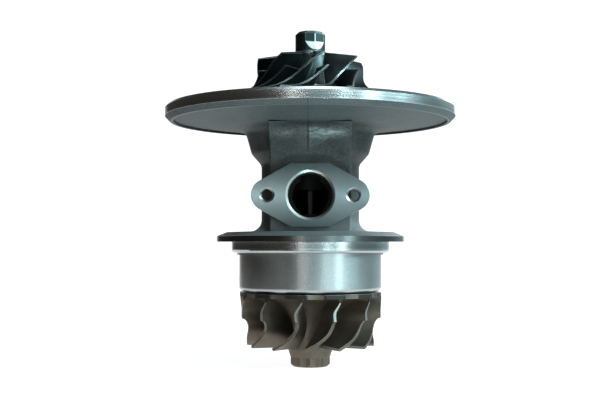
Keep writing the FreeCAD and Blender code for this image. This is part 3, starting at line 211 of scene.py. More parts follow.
room_light()
lamp("key_box", azimuth=45, elevation=7, distance=1.1, size=(0.17, 0.7), power=2.2,
     colour=(0.70, 0.96, 1.0))
lamp("strip_box", azimuth=25, elevation=5, distance=1.2, size=(0.05, 0.8), power=1.1,
     colour=(0.74, 0.96, 1.0))
lamp("front_box", azimuth=-12, elevation=4, distance=1.3, size=(0.05, 0.7), power=0.75,
     colour=(1.0, 0.98, 0.95))
lamp("window_box", azimuth=10, elevation=3, distance=1.3, size=(0.9, 0.07), power=0.53,
     colour=(0.62, 0.94, 1.0))
lamp("side_box", azimuth=72, elevation=30, distance=1.1, size=(0.3, 0.4), power=14.0,
     colour=(0.62, 0.94, 1.0))
lamp("high_box", azimuth=42, elevation=44, distance=1.2, size=(0.6, 0.25), power=2.6,
     colour=(0.74, 0.96, 1.0))
lamp("top_box", azimuth=20, elevation=80, distance=0.9, size=(0.4, 0.4), power=3.0,
     colour=(0.80, 0.97, 1.0))
lamp("low_right_box", azimuth=12, elevation=-34, distance=0.62, size=(0.08, 0.06), power=1.7,
     colour=(0.56, 0.95, 1.0))
lamp("low_left_box", azimuth=-24, elevation=-33, distance=0.62, size=(0.10, 0.08), power=0.45,
     colour=(1.0, 0.94, 0.86))
lamp("back_box", azimuth=165, elevation=20, distance=1.4, size=(0.5, 0.8), power=3.0,
     colour=(0.92, 0.98, 1.0))


# Bearing housing
# One grey iron casting, sand-cast all over, then turned where the two wheels' housings seat and
# milled on the oil drain's flange.
def new_group(name, inputs, outputs):
    """A shader group with named number or vector sockets."""
    group = bpy.data.node_groups.new(name, "ShaderNodeTree")
    for socket_name, kind, value in inputs:
        socket = group.interface.new_socket(socket_name, in_out="INPUT", socket_type=kind)
        socket.default_value = value
    for socket_name, kind in outputs:
        group.interface.new_socket(socket_name, in_out="OUTPUT", socket_type=kind)
    start = group.nodes.new("NodeGroupInput")
    end = group.nodes.new("NodeGroupOutput")
    return group, start, end


def use(tree, group, links):
    """Place a shader group in a material and wire its inputs."""
    return add(tree, "ShaderNodeGroup", links, node_tree=group)


def math_node(tree, operation, first, second=0.0):
    """The result of one sum or comparison."""
    return add(tree, "ShaderNodeMath", {0: first, 1: second}, operation=operation).outputs[0]


def product(tree, *masks):
    """The masks multiplied together: 1 only where all of them are."""
    result = masks[0]
    for mask in masks[1:]:
        result = math_node(tree, "MULTIPLY", result, mask)
    return result


def largest(tree, *masks):
    """The masks laid over one another: 1 where any of them is."""
    result = masks[0]
    for mask in masks[1:]:
        result = math_node(tree, "MAXIMUM", result, mask)
    return result


def below(tree, value, limit):
    """1 where the value is under the limit, and 0 elsewhere."""
    return math_node(tree, "LESS_THAN", value, limit)


def above(tree, value, limit):
    """1 where the value is over the limit, and 0 elsewhere."""
    return math_node(tree, "GREATER_THAN", value, limit)


def opposite(tree, mask):
    """0 where the mask is 1, and 1 where it is 0."""
    return math_node(tree, "SUBTRACT", 1.0, mask)


def step_up(tree, value, low, high):
    """0 at low and 1 at high, in a straight line between, whichever of the two is larger."""
    ramp = add(tree, "ShaderNodeMapRange", {
        "Value": value, "From Min": low, "From Max": high, "To Min": 0.0, "To Max": 1.0})
    return ramp.outputs[0]


def blend_colours(tree, share, first, second):
    """The first colour where the share is 0, the second where it is 1, and a mix between."""
    return add(tree, "ShaderNodeMix", {0: share, 6: first, 7: second}, data_type="RGBA").outputs[2]


def blend_values(tree, share, first, second):
    """As blend_colours, for plain values."""
    return add(tree, "ShaderNodeMix", {0: share, 2: first, 3: second}, data_type="FLOAT").outputs[0]


def noise(tree, point, scale, detail):
    """Soft random spots; scale is how many lie in a metre, and detail how broken they are."""
    return add(tree, "ShaderNodeTexNoise", {"Vector": point, "Scale": scale, "Detail": detail}).outputs[0]


GRIT_FINENESS = 2.7
GRIT_SHARE = 0.35
PATCH_SCALE = 42.0
LINES_UP_WALLS = 1.37
BROAD_LINES = 330.0
CORNER_TURN = (0.015, 0.16)


def cast_skin_group():
    """Sand-cast skin: coarse sand grain, fine grit and slow patches of tone."""
    group, start, end = new_group("cast_skin", [
        ("Point", "NodeSocketVector", (0, 0, 0)),
        ("Grain", "NodeSocketFloat", 900.0)],
        [("Height", "NodeSocketFloat"), ("Patches", "NodeSocketFloat"), ("Grit", "NodeSocketFloat")])
    point = start.outputs["Point"]
    grain = add(group, "ShaderNodeTexNoise", {
        "Vector": point, "Scale": start.outputs["Grain"], "Detail": 3.0, "Roughness": 0.6})
    finer = math_node(group, "MULTIPLY", start.outputs["Grain"], GRIT_FINENESS)
    grit = noise(group, point, scale=finer, detail=2.0)
    patches = noise(group, point, scale=PATCH_SCALE, detail=4.0)
    height = math_node(group, "MULTIPLY", grit, GRIT_SHARE)
    height = math_node(group, "ADD", height, grain.outputs[0])
    group.links.new(height, end.inputs["Height"])
    group.links.new(patches, end.inputs["Patches"])
    group.links.new(grit, end.inputs["Grit"])
    return group


def turned_lines_group():
    """Fine tool lines round Z, as a lathe leaves them on faces, cones and rims."""
    group, start, end = new_group("turned_lines", [
        ("Point", "NodeSocketVector", (0, 0, 0)),
        ("Lines", "NodeSocketFloat", 2600.0)],
        [("Height", "NodeSocketFloat"), ("Tone", "NodeSocketFloat"), ("Radius", "NodeSocketFloat")])
    level = add(group, "ShaderNodeVectorMath", {0: start.outputs["Point"], 1: (1.0, 1.0, 0.0)},
                operation="MULTIPLY")
    radius = add(group, "ShaderNodeVectorMath", {0: level.outputs[0]}, operation="LENGTH")
    split = add(group, "ShaderNodeSeparateXYZ", {0: start.outputs["Point"]})
    along = math_node(group, "MULTIPLY", split.outputs["Z"], LINES_UP_WALLS)
    along = math_node(group, "ADD", along, radius.outputs["Value"])
    fine = add(group, "ShaderNodeTexNoise", {
        "W": math_node(group, "MULTIPLY", along, start.outputs["Lines"]), "Scale": 1.0, "Detail": 2.0},
        noise_dimensions="1D")
    broad = add(group, "ShaderNodeTexNoise", {
        "W": math_node(group, "MULTIPLY", along, BROAD_LINES), "Scale": 1.0, "Detail": 3.0},
        noise_dimensions="1D")
    group.links.new(fine.outputs[0], end.inputs["Height"])
    group.links.new(broad.outputs[0], end.inputs["Tone"])
    group.links.new(radius.outputs["Value"], end.inputs["Radius"])
    return group


def worn_edge_group():
    """Marks the corners of a piece, where handling and deburring leave it bright."""
    group, start, end = new_group("worn_edge", [("Width", "NodeSocketFloat", 0.0006)],
                                  [("Mask", "NodeSocketFloat")])
    rounded = add(group, "ShaderNodeBevel", {"Radius": start.outputs["Width"]}, samples=4)
    true = add(group, "ShaderNodeNewGeometry")
    same = add(group, "ShaderNodeVectorMath", {0: rounded.outputs[0], 1: true.outputs["Normal"]},
               operation="DOT_PRODUCT")
    turned_away = opposite(group, same.outputs["Value"])
    mask = step_up(group, turned_away, *CORNER_TURN)
    group.links.new(mask, end.inputs["Mask"])
    return group


def bump(tree, height, strength, distance, base=None):
    """The normal that a height gives; distance is the relief's depth in metres."""
    links = {"Height": height, "Strength": strength, "Distance": distance}
    if base is not None:
        links["Normal"] = base
    return add(tree, "ShaderNodeBump", links).outputs[0]


QUARTER_TURN = 0.25


def finish_metal(tree, output, colour, roughness, normal, metallic=1.0, anisotropic=0.0):
    """The piece's own shader; anisotropic draws highlights out across the lathe's lines."""
    shader = add(tree, "ShaderNodeBsdfPrincipled", {
        "Base Color": colour, "Roughness": roughness, "Metallic": metallic, "Normal": normal})
    if anisotropic:
        shader.inputs["Anisotropic"].default_value = anisotropic
        shader.inputs["Anisotropic Rotation"].default_value = QUARTER_TURN
        ring = add(tree, "ShaderNodeTangent", direction_type="RADIAL", axis="Z")
        tree.links.new(ring.outputs[0], shader.inputs["Tangent"])
    tree.links.new(shader.outputs[0], output.inputs["Surface"])
    return shader


cast_skin = cast_skin_group()
turned_lines = turned_lines_group()
worn_edge = worn_edge_group()

# Places on the casting, in metres: heights above the turbine flange's seat face, radii from the
# shaft's axis, and places towards the drain, which are negative because it faces -Y. A pair says
# where a finish begins and where it is full. FEATHER is how far a hard edge is softened.
FEATHER = 0.0001
RIM_FOOT = 0.0749
RIM_EDGE = (0.0822, 0.0828)
LIP_EDGE = (0.0826, 0.0828)
LIP_END = 0.0838
LIP_HEIGHT = (0.060, 0.061)
TOP_FACE = (0.0795, 0.0796)
FLANGE_SHELF = (0.0495, 0.0503)
FLANGE_TOP = 0.0034
CLAMPED_RADIUS = 0.0535
UNDERSIDE_RADIUS = (0.044, 0.050)
UNDERSIDE_HEIGHT = (0.058, 0.062)
NECK_FOOT = (0.026, 0.010)
DRAIN_FACE = -0.04185
DRAIN_HEIGHT = 0.0265
DRAIN_HALF_HEIGHT = 0.0190
MOUTH_RADIUS = 0.0131
MOUTH_FLOOR = -0.0335
MOUTH_BREAK = (0.0141, 0.0127)
SCREW_OFFSET = 0.0245
SCREW_BREAK = (0.0043, 0.0033)
FLARE_FOOT = (0.0575, 0.0618)
FLARE_END = (0.0675, 0.0622)
FLARE_FRONT = (-0.0345, -0.0365)
FLARE_SIDES = (0.0230, 0.0140)
FLARE_MIDDLE = (-0.0020, 0.0)
INSIDE_RADIUS = 0.0262
INSIDE_FLOOR = -0.026
INSIDE_ROOF = 0.066
PARTING_OFFSET = 0.0011
PARTING_WIDTH = (0.0006, 0.0)
PARTING_FRONT = -0.020
PARTING_FOOT = (0.0515, 0.0535)

# Colours on the casting, how much of each shows, and how deep each relief is
CASTING_DARK = (0.049, 0.046, 0.042, 1.0)
CASTING_LIGHT = (0.088, 0.090, 0.088, 1.0)
# A painted sheen on the neck's foot, where the fillet faces the light
FOOT_PAINTED_SHEEN = (0.26, 0.27, 0.27, 1.0)
SAND_GRAIN = (0.16, 0.17, 0.17, 1.0)
CASTING_CORNER = (0.30, 0.32, 0.32, 1.0)
UNDERSIDE_DARK = (0.075, 0.075, 0.073, 1.0)
UNDERSIDE_LIGHT = (0.120, 0.124, 0.124, 1.0)
UNDERSIDE_GRAIN = (0.20, 0.21, 0.21, 1.0)
LIP_TONE = (0.28, 0.29, 0.29, 1.0)
# A painted highlight band on the boss's flare, stronger at the right
FLARE_PAINTED_HIGHLIGHT = (0.27, 0.29, 0.29, 1.0)
TURNED_DARK = (0.38, 0.39, 0.39, 1.0)
TURNED_LIGHT = (0.50, 0.52, 0.52, 1.0)
MILLED_DARK = (0.30, 0.355, 0.365, 1.0)
MILLED_LIGHT = (0.44, 0.52, 0.535, 1.0)
DEBURRED_TONE = (0.36, 0.355, 0.34, 1.0)
CLAMPED_TONE = (0.145, 0.150, 0.150, 1.0)
# Oil stain and painted shade inside the casting
OILED_AND_SHADED_IRON = (0.022, 0.020, 0.018, 1.0)
FOOT_SHEEN_SHARE = 0.65
CORNER_SHARE = 0.12
FLARE_HIGHLIGHT_SHARE = 0.8
FLARE_LEFT = 0.30
FLARE_RIGHT = 0.85
FLARE_STREAKS = (260.0, 900.0, 1500.0)
SAND_DEPTH = 1.4
UNDERSIDE_DEPTH = 1.1
TOOL_DEPTH = 0.05
PARTING_HEIGHT = 2.6
CROWN_CURVE = -42000.0
CROWN_RIPPLE = 0.5
BREAK_DEPTH = 4.0

# The range of a noise or a mask over which one tone gives way to the next
CASTING_PATCHES = (0.35, 0.68)
CASTING_GRAINS = (0.52, 0.75)
UNDERSIDE_GRAINS = (0.50, 0.70)
TURNED_TONES = (0.40, 0.66)
STREAK_LEVELS = (0.30, 0.62)
DEBURRED_LEVELS = (0.05, 0.4)

# How rough and how metallic each finish is
CASTING_ROUGH = (0.50, 0.62)
UNDERSIDE_ROUGH = 0.58
FLARE_ROUGH = 0.40
TURNED_ROUGH = 0.25
MILLED_ROUGH = 0.30
DEBURRED_ROUGH = 0.42
CASTING_METAL = 0.45
UNDERSIDE_METAL = 0.10
FLARE_METAL = 0.8
CASTING_SPECULAR = 0.15
CORNER_RADIUS = 0.0006


def distance_from(tree, first, second):
    """How far a point lies from an axis, out of its two distances across it."""
    flat = add(tree, "ShaderNodeCombineXYZ", {0: first, 1: second})
    return add(tree, "ShaderNodeVectorMath", {0: flat.outputs[0]}, operation="LENGTH").outputs["Value"]


def turned_places(tree, radius, up):
    """The large flange's rim and top, and the turbine flange with its spigot."""
    rim = product(tree, step_up(tree, radius, *RIM_EDGE), step_up(tree, up, RIM_FOOT - FEATHER, RIM_FOOT))
    top = step_up(tree, up, *TOP_FACE)
    flange = product(tree, step_up(tree, radius, *FLANGE_SHELF), below(tree, up, FLANGE_TOP))
    turbine_side = largest(tree, flange, below(tree, up, -FEATHER))
    return largest(tree, rim, top, turbine_side)


def drain_places(tree, across, toward, from_drain):
    """The drain's milled face, the wall of its mouth, and the deburred edges of its holes."""
    beside = math_node(tree, "ABSOLUTE", from_drain)
    face = product(tree, below(tree, toward, DRAIN_FACE), below(tree, beside, DRAIN_HALF_HEIGHT))
    from_mouth = distance_from(tree, across, from_drain)
    mouth = product(tree, below(tree, from_mouth, MOUTH_RADIUS), below(tree, toward, MOUTH_FLOOR))
    from_screw = math_node(tree, "SUBTRACT", math_node(tree, "ABSOLUTE", across), SCREW_OFFSET)
    from_screw = distance_from(tree, from_screw, from_drain)
    broken = math_node(tree, "ADD", step_up(tree, from_mouth, *MOUTH_BREAK),
                       step_up(tree, from_screw, *SCREW_BREAK))
    return face, mouth, product(tree, broken, face)


def smooth_flare_and_highlight(tree, point, across, toward, up):
    """The boss's flare is smoother than the rest and carries a painted highlight band, both more so right of
    the parting line, and streaky.
    """
    band = product(tree, step_up(tree, up, *FLARE_FOOT), step_up(tree, up, *FLARE_END))
    front = step_up(tree, toward, *FLARE_FRONT)
    ends = step_up(tree, math_node(tree, "ABSOLUTE", across), *FLARE_SIDES)
    halves = blend_values(tree, step_up(tree, across, *FLARE_MIDDLE), FLARE_LEFT, FLARE_RIGHT)
    streaky = add(tree, "ShaderNodeVectorMath", {0: point, 1: FLARE_STREAKS}, operation="MULTIPLY")
    streaks = noise(tree, streaky.outputs[0], scale=1.0, detail=3.0)
    return product(tree, band, front, ends, halves, step_up(tree, streaks, *STREAK_LEVELS))


def casting_colour(tree, skin, edge, up, dressed, lip, flare_and_highlight):
    """Dark sand-cast iron with a painted sheen on the neck's foot, lighter on the rubbed corners and the
    cleaned places, and a painted highlight on the boss's flare.
    """
    iron = blend_colours(tree, step_up(tree, skin["Patches"], *CASTING_PATCHES), CASTING_DARK, CASTING_LIGHT)
    # Painted sheen on the neck's foot
    foot_sheen = product(tree, step_up(tree, up, *NECK_FOOT), FOOT_SHEEN_SHARE)
    iron = blend_colours(tree, foot_sheen, iron, FOOT_PAINTED_SHEEN)
    iron = blend_colours(tree, step_up(tree, skin["Grit"], *CASTING_GRAINS), iron, SAND_GRAIN)
    iron = blend_colours(tree, product(tree, edge, CORNER_SHARE), iron, CASTING_CORNER)
    under = blend_colours(tree, skin["Patches"], UNDERSIDE_DARK, UNDERSIDE_LIGHT)
    under = blend_colours(tree, step_up(tree, skin["Grit"], *UNDERSIDE_GRAINS), under, UNDERSIDE_GRAIN)
    iron = blend_colours(tree, dressed, iron, under)
    iron = blend_colours(tree, lip, iron, LIP_TONE)
    # A painted highlight band on the boss's flare
    return blend_colours(tree, product(tree, flare_and_highlight, FLARE_HIGHLIGHT_SHARE), iron, FLARE_PAINTED_HIGHLIGHT)


def machined_colour(tree, skin, lathe, radius, up, milled, broken):
    """Bright turned and milled iron; the turbine flange's edge is dull from its clamp and the heat."""
    steel = blend_colours(tree, step_up(tree, lathe["Tone"], *TURNED_TONES), TURNED_DARK, TURNED_LIGHT)
    cut = blend_colours(tree, skin["Patches"], MILLED_DARK, MILLED_LIGHT)
    steel = blend_colours(tree, milled, steel, cut)
    steel = blend_colours(tree, step_up(tree, broken, *DEBURRED_LEVELS), steel, DEBURRED_TONE)
    dull = product(tree, above(tree, radius, CLAMPED_RADIUS), below(tree, up, FLANGE_TOP))
    return blend_colours(tree, dull, steel, CLAMPED_TONE)


def parting_line(tree, across, toward, up):
    """The thin rib that the mould's two halves left on the drain's side."""
    line = math_node(tree, "ABSOLUTE", math_node(tree, "ADD", across, PARTING_OFFSET))
    line = step_up(tree, line, *PARTING_WIDTH)
    return product(tree, line, below(tree, toward, PARTING_FRONT), step_up(tree, up, *PARTING_FOOT))


def drain_crown(tree, skin, from_drain, face, broken):
    """The drain's face is very slightly crowned, so light gathers along its middle."""
    crown = product(tree, from_drain, from_drain, CROWN_CURVE)
    crown = math_node(tree, "ADD", crown, product(tree, skin["Patches"], CROWN_RIPPLE))
    crown = product(tree, crown, face)
    return math_node(tree, "SUBTRACT", crown, product(tree, broken, BREAK_DEPTH))


def housing_material():
    material, tree, output = fresh_material("grey_iron_casting")
    point = add(tree, "ShaderNodeTexCoord").outputs["Object"]
    across, toward, up = add(tree, "ShaderNodeSeparateXYZ", {0: point}).outputs
    skin = use(tree, cast_skin, {"Point": point, "Grain": 780.0}).outputs
    lathe = use(tree, turned_lines, {"Point": point, "Lines": 5200.0}).outputs
    radius = lathe["Radius"]
    edge = use(tree, worn_edge, {"Width": 0.0007}).outputs["Mask"]
    from_drain = math_node(tree, "SUBTRACT", up, DRAIN_HEIGHT)
    # Where each finish lies
    turned = turned_places(tree, radius, up)
    face, mouth, broken = drain_places(tree, across, toward, from_drain)
    milled = largest(tree, face, mouth)
    machined = largest(tree, turned, milled)
    # The underside of the large flange is cast but cleaned, up to a turned lip
    dressed = product(tree, step_up(tree, radius, *UNDERSIDE_RADIUS), step_up(tree, up, *UNDERSIDE_HEIGHT))
    lip = product(tree, step_up(tree, radius, *LIP_EDGE), below(tree, radius, LIP_END),
                  step_up(tree, up, *LIP_HEIGHT))
    # The flare's mask makes it smoother and also paints a highlight band on it
    flare_and_highlight = smooth_flare_and_highlight(tree, point, across, toward, up)
    # Oil stain and painted shade keep the inside of the casting dark
    inside = product(tree, below(tree, radius, INSIDE_RADIUS), above(tree, toward, -INSIDE_RADIUS),
                     below(tree, up, INSIDE_ROOF), above(tree, up, INSIDE_FLOOR))
    iron = casting_colour(tree, skin, edge, up, dressed, lip, flare_and_highlight)
    steel = machined_colour(tree, skin, lathe, radius, up, milled, broken)
    colour = blend_colours(tree, machined, iron, steel)
    colour = blend_colours(tree, inside, colour, OILED_AND_SHADED_IRON)
    rough = blend_values(tree, skin["Patches"], *CASTING_ROUGH)
    for place, roughness in ((dressed, UNDERSIDE_ROUGH), (flare_and_highlight, FLARE_ROUGH), (turned, TURNED_ROUGH),
                             (milled, MILLED_ROUGH), (broken, DEBURRED_ROUGH)):
        rough = blend_values(tree, place, rough, roughness)
    # Depth of the surface: sand grain on the casting, tool lines where it is turned
    grain = product(tree, skin["Height"], opposite(tree, machined),
                    blend_values(tree, dressed, SAND_DEPTH, UNDERSIDE_DEPTH))
    tool = product(tree, lathe["Height"], product(tree, turned, TOOL_DEPTH))
    line = product(tree, parting_line(tree, across, toward, up), opposite(tree, machined), PARTING_HEIGHT)
    height = math_node(tree, "ADD", math_node(tree, "ADD", grain, tool), line)
    height = product(tree, height, opposite(tree, milled))
    height = math_node(tree, "ADD", height, drain_crown(tree, skin, from_drain, face, broken))
    # Corners are softened, but not beside the turned rims, where the true curve is smooth
    rounded = add(tree, "ShaderNodeBevel", {"Radius": CORNER_RADIUS}, samples=4).outputs[0]
    true = add(tree, "ShaderNodeNewGeometry").outputs["Normal"]
    rounded = add(tree, "ShaderNodeMix", {0: turned, 4: rounded, 5: true}, data_type="VECTOR").outputs[1]
    normal = bump(tree, height, strength=0.75, distance=0.00028, base=rounded)
    metal = blend_values(tree, dressed, CASTING_METAL, UNDERSIDE_METAL)
    metal = blend_values(tree, flare_and_highlight, metal, FLARE_METAL)
    metal = blend_values(tree, machined, metal, 1.0)
    shader = finish_metal(tree, output, colour, rough, normal, metallic=metal)
    shader.inputs["Specular IOR Level"].default_value = CASTING_SPECULAR
    return material


def dress_node(name, material):
    """Give a CAD node its material; its mesh stays as it is."""
    for slot in nodes[name].material_slots:
        slot.material = material


dress_node("bearing_housing", housing_material())


# Tapped threads
# The two drain screw holes and the oil inlet are tapped: a fine coil of thread along each wall,
# made by one node tree that repeats a spiral rib at every hole.
DRAIN_THREAD_RADIUS = 0.00342
DRAIN_PITCH = 0.00125
DRAIN_TURNS = 6.0
DRAIN_RIB = 0.0003
DRAIN_THREAD_END = -0.0341
INLET_THREAD_RADIUS = 0.00527
INLET_PITCH = 0.0015
INLET_TURNS = 7.0
INLET_RIB = 0.00035
INLET_THREAD_END = 0.0368
INLET_HEIGHT = 0.040
OILY_THREAD = (0.20, 0.19, 0.17, 1.0)
CLEAN_THREAD = (0.50, 0.50, 0.48, 1.0)
THREAD_OIL = (0.40, 0.62)
THREAD_ROUGH = (0.22, 0.40)


def thread_tree():
    """A node tree that sets a coiled rib of thread at every hole in a row."""
    tree = bpy.data.node_groups.new("tapped_threads", "GeometryNodeTree")
    for name, kind, value in (
            ("Radius", "NodeSocketFloat", DRAIN_THREAD_RADIUS), ("Pitch", "NodeSocketFloat", DRAIN_PITCH),
            ("Turns", "NodeSocketFloat", DRAIN_TURNS), ("Rib", "NodeSocketFloat", DRAIN_RIB),
            ("Start", "NodeSocketVector", (0.0, 0.0, 0.0)), ("Step", "NodeSocketVector", (0.0, 0.0, 0.0)),
            ("Holes", "NodeSocketInt", 1)):
        tree.interface.new_socket(name, in_out="INPUT", socket_type=kind).default_value = value
    tree.interface.new_socket("Finish", in_out="INPUT", socket_type="NodeSocketMaterial")
    tree.interface.new_socket("Threads", in_out="OUTPUT", socket_type="NodeSocketGeometry")
    start = tree.nodes.new("NodeGroupInput").outputs
    end = tree.nodes.new("NodeGroupOutput").inputs
    length = add(tree, "ShaderNodeMath", {0: start["Pitch"], 1: start["Turns"]}, operation="MULTIPLY")
    coil = add(tree, "GeometryNodeCurveSpiral", {
        "Resolution": 32, "Rotations": start["Turns"], "Start Radius": start["Radius"],
        "End Radius": start["Radius"], "Height": length.outputs[0]})
    rib = add(tree, "GeometryNodeCurvePrimitiveCircle", {"Resolution": 4, "Radius": start["Rib"]})
    thread = add(tree, "GeometryNodeCurveToMesh", {
        "Curve": coil.outputs[0], "Profile Curve": rib.outputs[0], "Fill Caps": True})
    holes = add(tree, "GeometryNodeMeshLine", {
        "Count": start["Holes"], "Start Location": start["Start"], "Offset": start["Step"]})
    placed = add(tree, "GeometryNodeInstanceOnPoints", {
        "Points": holes.outputs[0], "Instance": thread.outputs[0], "Rotation": (math.radians(90), 0.0, 0.0)})
    real = add(tree, "GeometryNodeRealizeInstances", {0: placed.outputs[0]})
    dressed = add(tree, "GeometryNodeSetMaterial", {"Geometry": real.outputs[0], "Material": start["Finish"]})
    tree.links.new(dressed.outputs[0], end["Threads"])
    return tree


def made_by_nodes(name, tree, values):
    """Run a node tree once with these inputs and keep the result as a plain mesh."""
    made = bpy.data.objects.new(name, bpy.data.meshes.new(name))
    scene.collection.objects.link(made)
    modifier = made.modifiers.new(name, "NODES")
    modifier.node_group = tree
    for item in tree.interface.items_tree:
        if item.in_out == "INPUT" and item.name in values:
            modifier[item.identifier] = values[item.name]
    graph = bpy.context.evaluated_depsgraph_get()
    mesh = bpy.data.meshes.new_from_object(made.evaluated_get(graph))
    made.modifiers.clear()
    made.data = mesh
    return made


def tapped_material():
    material, tree, output = fresh_material("tapped_iron")
    point = add(tree, "ShaderNodeTexCoord").outputs["Object"]
    oil = noise(tree, point, scale=500.0, detail=3.0)
    iron = blend_colours(tree, step_up(tree, oil, *THREAD_OIL), OILY_THREAD, CLEAN_THREAD)
    rough = blend_values(tree, oil, *THREAD_ROUGH)
    finish_metal(tree, output, iron, rough, bump(tree, oil, strength=0.1, distance=0.00004))
    return material


threads = thread_tree()
tapped_iron = tapped_material()
drain_threads = made_by_nodes("drain_screw_threads", threads, {
    "Radius": DRAIN_THREAD_RADIUS, "Pitch": DRAIN_PITCH, "Turns": DRAIN_TURNS, "Rib": DRAIN_RIB,
    "Start": (-SCREW_OFFSET, DRAIN_THREAD_END, DRAIN_HEIGHT), "Step": (2 * SCREW_OFFSET, 0.0, 0.0),
    "Holes": 2, "Finish": tapped_iron})
inlet_threads = made_by_nodes("oil_inlet_threads", threads, {
    "Radius": INLET_THREAD_RADIUS, "Pitch": INLET_PITCH, "Turns": INLET_TURNS, "Rib": INLET_RIB,
    "Start": (0.0, INLET_THREAD_END, INLET_HEIGHT), "Holes": 1, "Finish": tapped_iron})
for thread in (drain_threads, inlet_threads):
    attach(thread, "housing")


# Heat shield
# A cup drawn from stainless sheet, satin from the press tool, with a smooth rolled foot. It sits
# between the housing and the turbine wheel and keeps the wheel's heat off the bearings.
STAINLESS_DARK = (0.355, 0.365, 0.365, 1.0)
STAINLESS_LIGHT = (0.465, 0.475, 0.475, 1.0)
STAINLESS_SPECK = (0.56, 0.57, 0.57, 1.0)
SPECK_LEVELS = (0.55, 0.72)
SHIELD_ROUGH = (0.30, 0.40)
LINE_SHARE = 0.5


def shield_material():
    material, tree, output = fresh_material("drawn_stainless_sheet")
    point = add(tree, "ShaderNodeTexCoord").outputs["Object"]
    lines = use(tree, turned_lines, {"Point": point, "Lines": 3600.0}).outputs
    cloud = noise(tree, point, scale=55.0, detail=3.0)
    speck = noise(tree, point, scale=1500.0, detail=2.0)
    steel = blend_colours(tree, cloud, STAINLESS_DARK, STAINLESS_LIGHT)
    steel = blend_colours(tree, step_up(tree, speck, *SPECK_LEVELS), steel, STAINLESS_SPECK)
    rough = blend_values(tree, cloud, *SHIELD_ROUGH)
    height = math_node(tree, "ADD", speck, product(tree, lines["Height"], LINE_SHARE))
    normal = bump(tree, height, strength=0.25, distance=0.00006)
    finish_metal(tree, output, steel, rough, normal, anisotropic=0.35)
    return material


dress_node("heat_shield", shield_material())


# Turbine wheel
# One investment casting in nickel alloy: matt, warm grey and slightly grainy, with the blade tips
# and the back face ground bright to size.
ALLOY_DARK = (0.120, 0.098, 0.075, 1.0)
ALLOY_LIGHT = (0.205, 0.174, 0.137, 1.0)
ALLOY_CORNER = (0.58, 0.59, 0.57, 1.0)
GROUND_ALLOY = (0.34, 0.34, 0.33, 1.0)
# Painted shade in the gap beside the heat shield
GAP_PAINTED_SHADE = (0.045, 0.041, 0.036, 1.0)
TIP_CORNER_SHARE = 0.70
TIP_RADIUS = (0.04285, 0.04295)
TIP_TOP = -0.0350
BACK_FACE = (-0.03045, -0.03035)
GAP_SHADE_RADIUS = (0.0422, 0.0427)
GAP_SHADE_FOOT = (-0.0350, -0.0346)
GRINDING_DEPTH = 0.12
ALLOY_PATCHES = (0.32, 0.68)
ALLOY_ROUGH = (0.46, 0.60)
GROUND_ROUGH = 0.36


def turbine_material():
    material, tree, output = fresh_material("cast_nickel_alloy")
    point = add(tree, "ShaderNodeTexCoord").outputs["Object"]
    up = add(tree, "ShaderNodeSeparateXYZ", {0: point}).outputs["Z"]
    skin = use(tree, cast_skin, {"Point": point, "Grain": 1500.0}).outputs
    lines = use(tree, turned_lines, {"Point": point, "Lines": 4200.0}).outputs
    edge = use(tree, worn_edge, {"Width": 0.00022}).outputs["Mask"]
    radius = lines["Radius"]
    tips = product(tree, step_up(tree, radius, *TIP_RADIUS), below(tree, up, TIP_TOP))
    ground = largest(tree, tips, step_up(tree, up, *BACK_FACE))
    # Painted shade darkens the rim of the back disc, in the gap beside the heat shield
    gap_shade = product(tree, step_up(tree, radius, *GAP_SHADE_RADIUS), step_up(tree, up, *GAP_SHADE_FOOT))
    alloy = blend_colours(tree, step_up(tree, skin["Patches"], *ALLOY_PATCHES), ALLOY_DARK, ALLOY_LIGHT)
    alloy = blend_colours(tree, product(tree, edge, TIP_CORNER_SHARE), alloy, ALLOY_CORNER)
    alloy = blend_colours(tree, gap_shade, alloy, GAP_PAINTED_SHADE)
    colour = blend_colours(tree, ground, alloy, GROUND_ALLOY)
    rough = blend_values(tree, skin["Patches"], *ALLOY_ROUGH)
    rough = blend_values(tree, ground, rough, GROUND_ROUGH)
    grain = product(tree, skin["Height"], opposite(tree, ground))
    grinding = product(tree, lines["Height"], product(tree, ground, GRINDING_DEPTH))
    normal = bump(tree, math_node(tree, "ADD", grain, grinding), strength=0.4, distance=0.00012)
    finish_metal(tree, output, colour, rough, normal, metallic=0.9)
    return material


dress_node("turbine_wheel", turbine_material())


# Compressor wheel
# Milled from an aluminium forging: dark with a soft gloss, fine steps from the cutter in the
# flow faces, and bright edges at the tips. The nose has two milled flats, where metal was taken
# off to balance the wheel.
ALUMINIUM_DARK = (0.040, 0.052, 0.053, 1.0)
ALUMINIUM_LIGHT = (0.075, 0.094, 0.096, 1.0)
NOSE_TONE = (0.060, 0.076, 0.076, 1.0)
# Painted shade on the balancing flats, and painted highlights on their run-out and ridge
FLAT_PAINTED_SHADE = (0.026, 0.034, 0.034, 1.0)
RUN_OUT_PAINTED_HIGHLIGHT = (0.44, 0.45, 0.45, 1.0)
RIDGE_PAINTED_HIGHLIGHT = (0.50, 0.56, 0.57, 1.0)
ALUMINIUM_CORNER = (0.66, 0.72, 0.73, 1.0)
NOSE_FOOT = (0.1128, 0.1136)
FLAT_RADIUS = 0.0090
FLAT_FOOT = 0.1150
FLAT_TOP = 0.1251
RUN_OUT_TOP = (0.1204, 0.1200)
RIDGE_ANGLE = math.radians(21.6)
RIDGE_WIDTH = (0.00035, 0.00010)
FLOW_ROUGH = (0.38, 0.50)


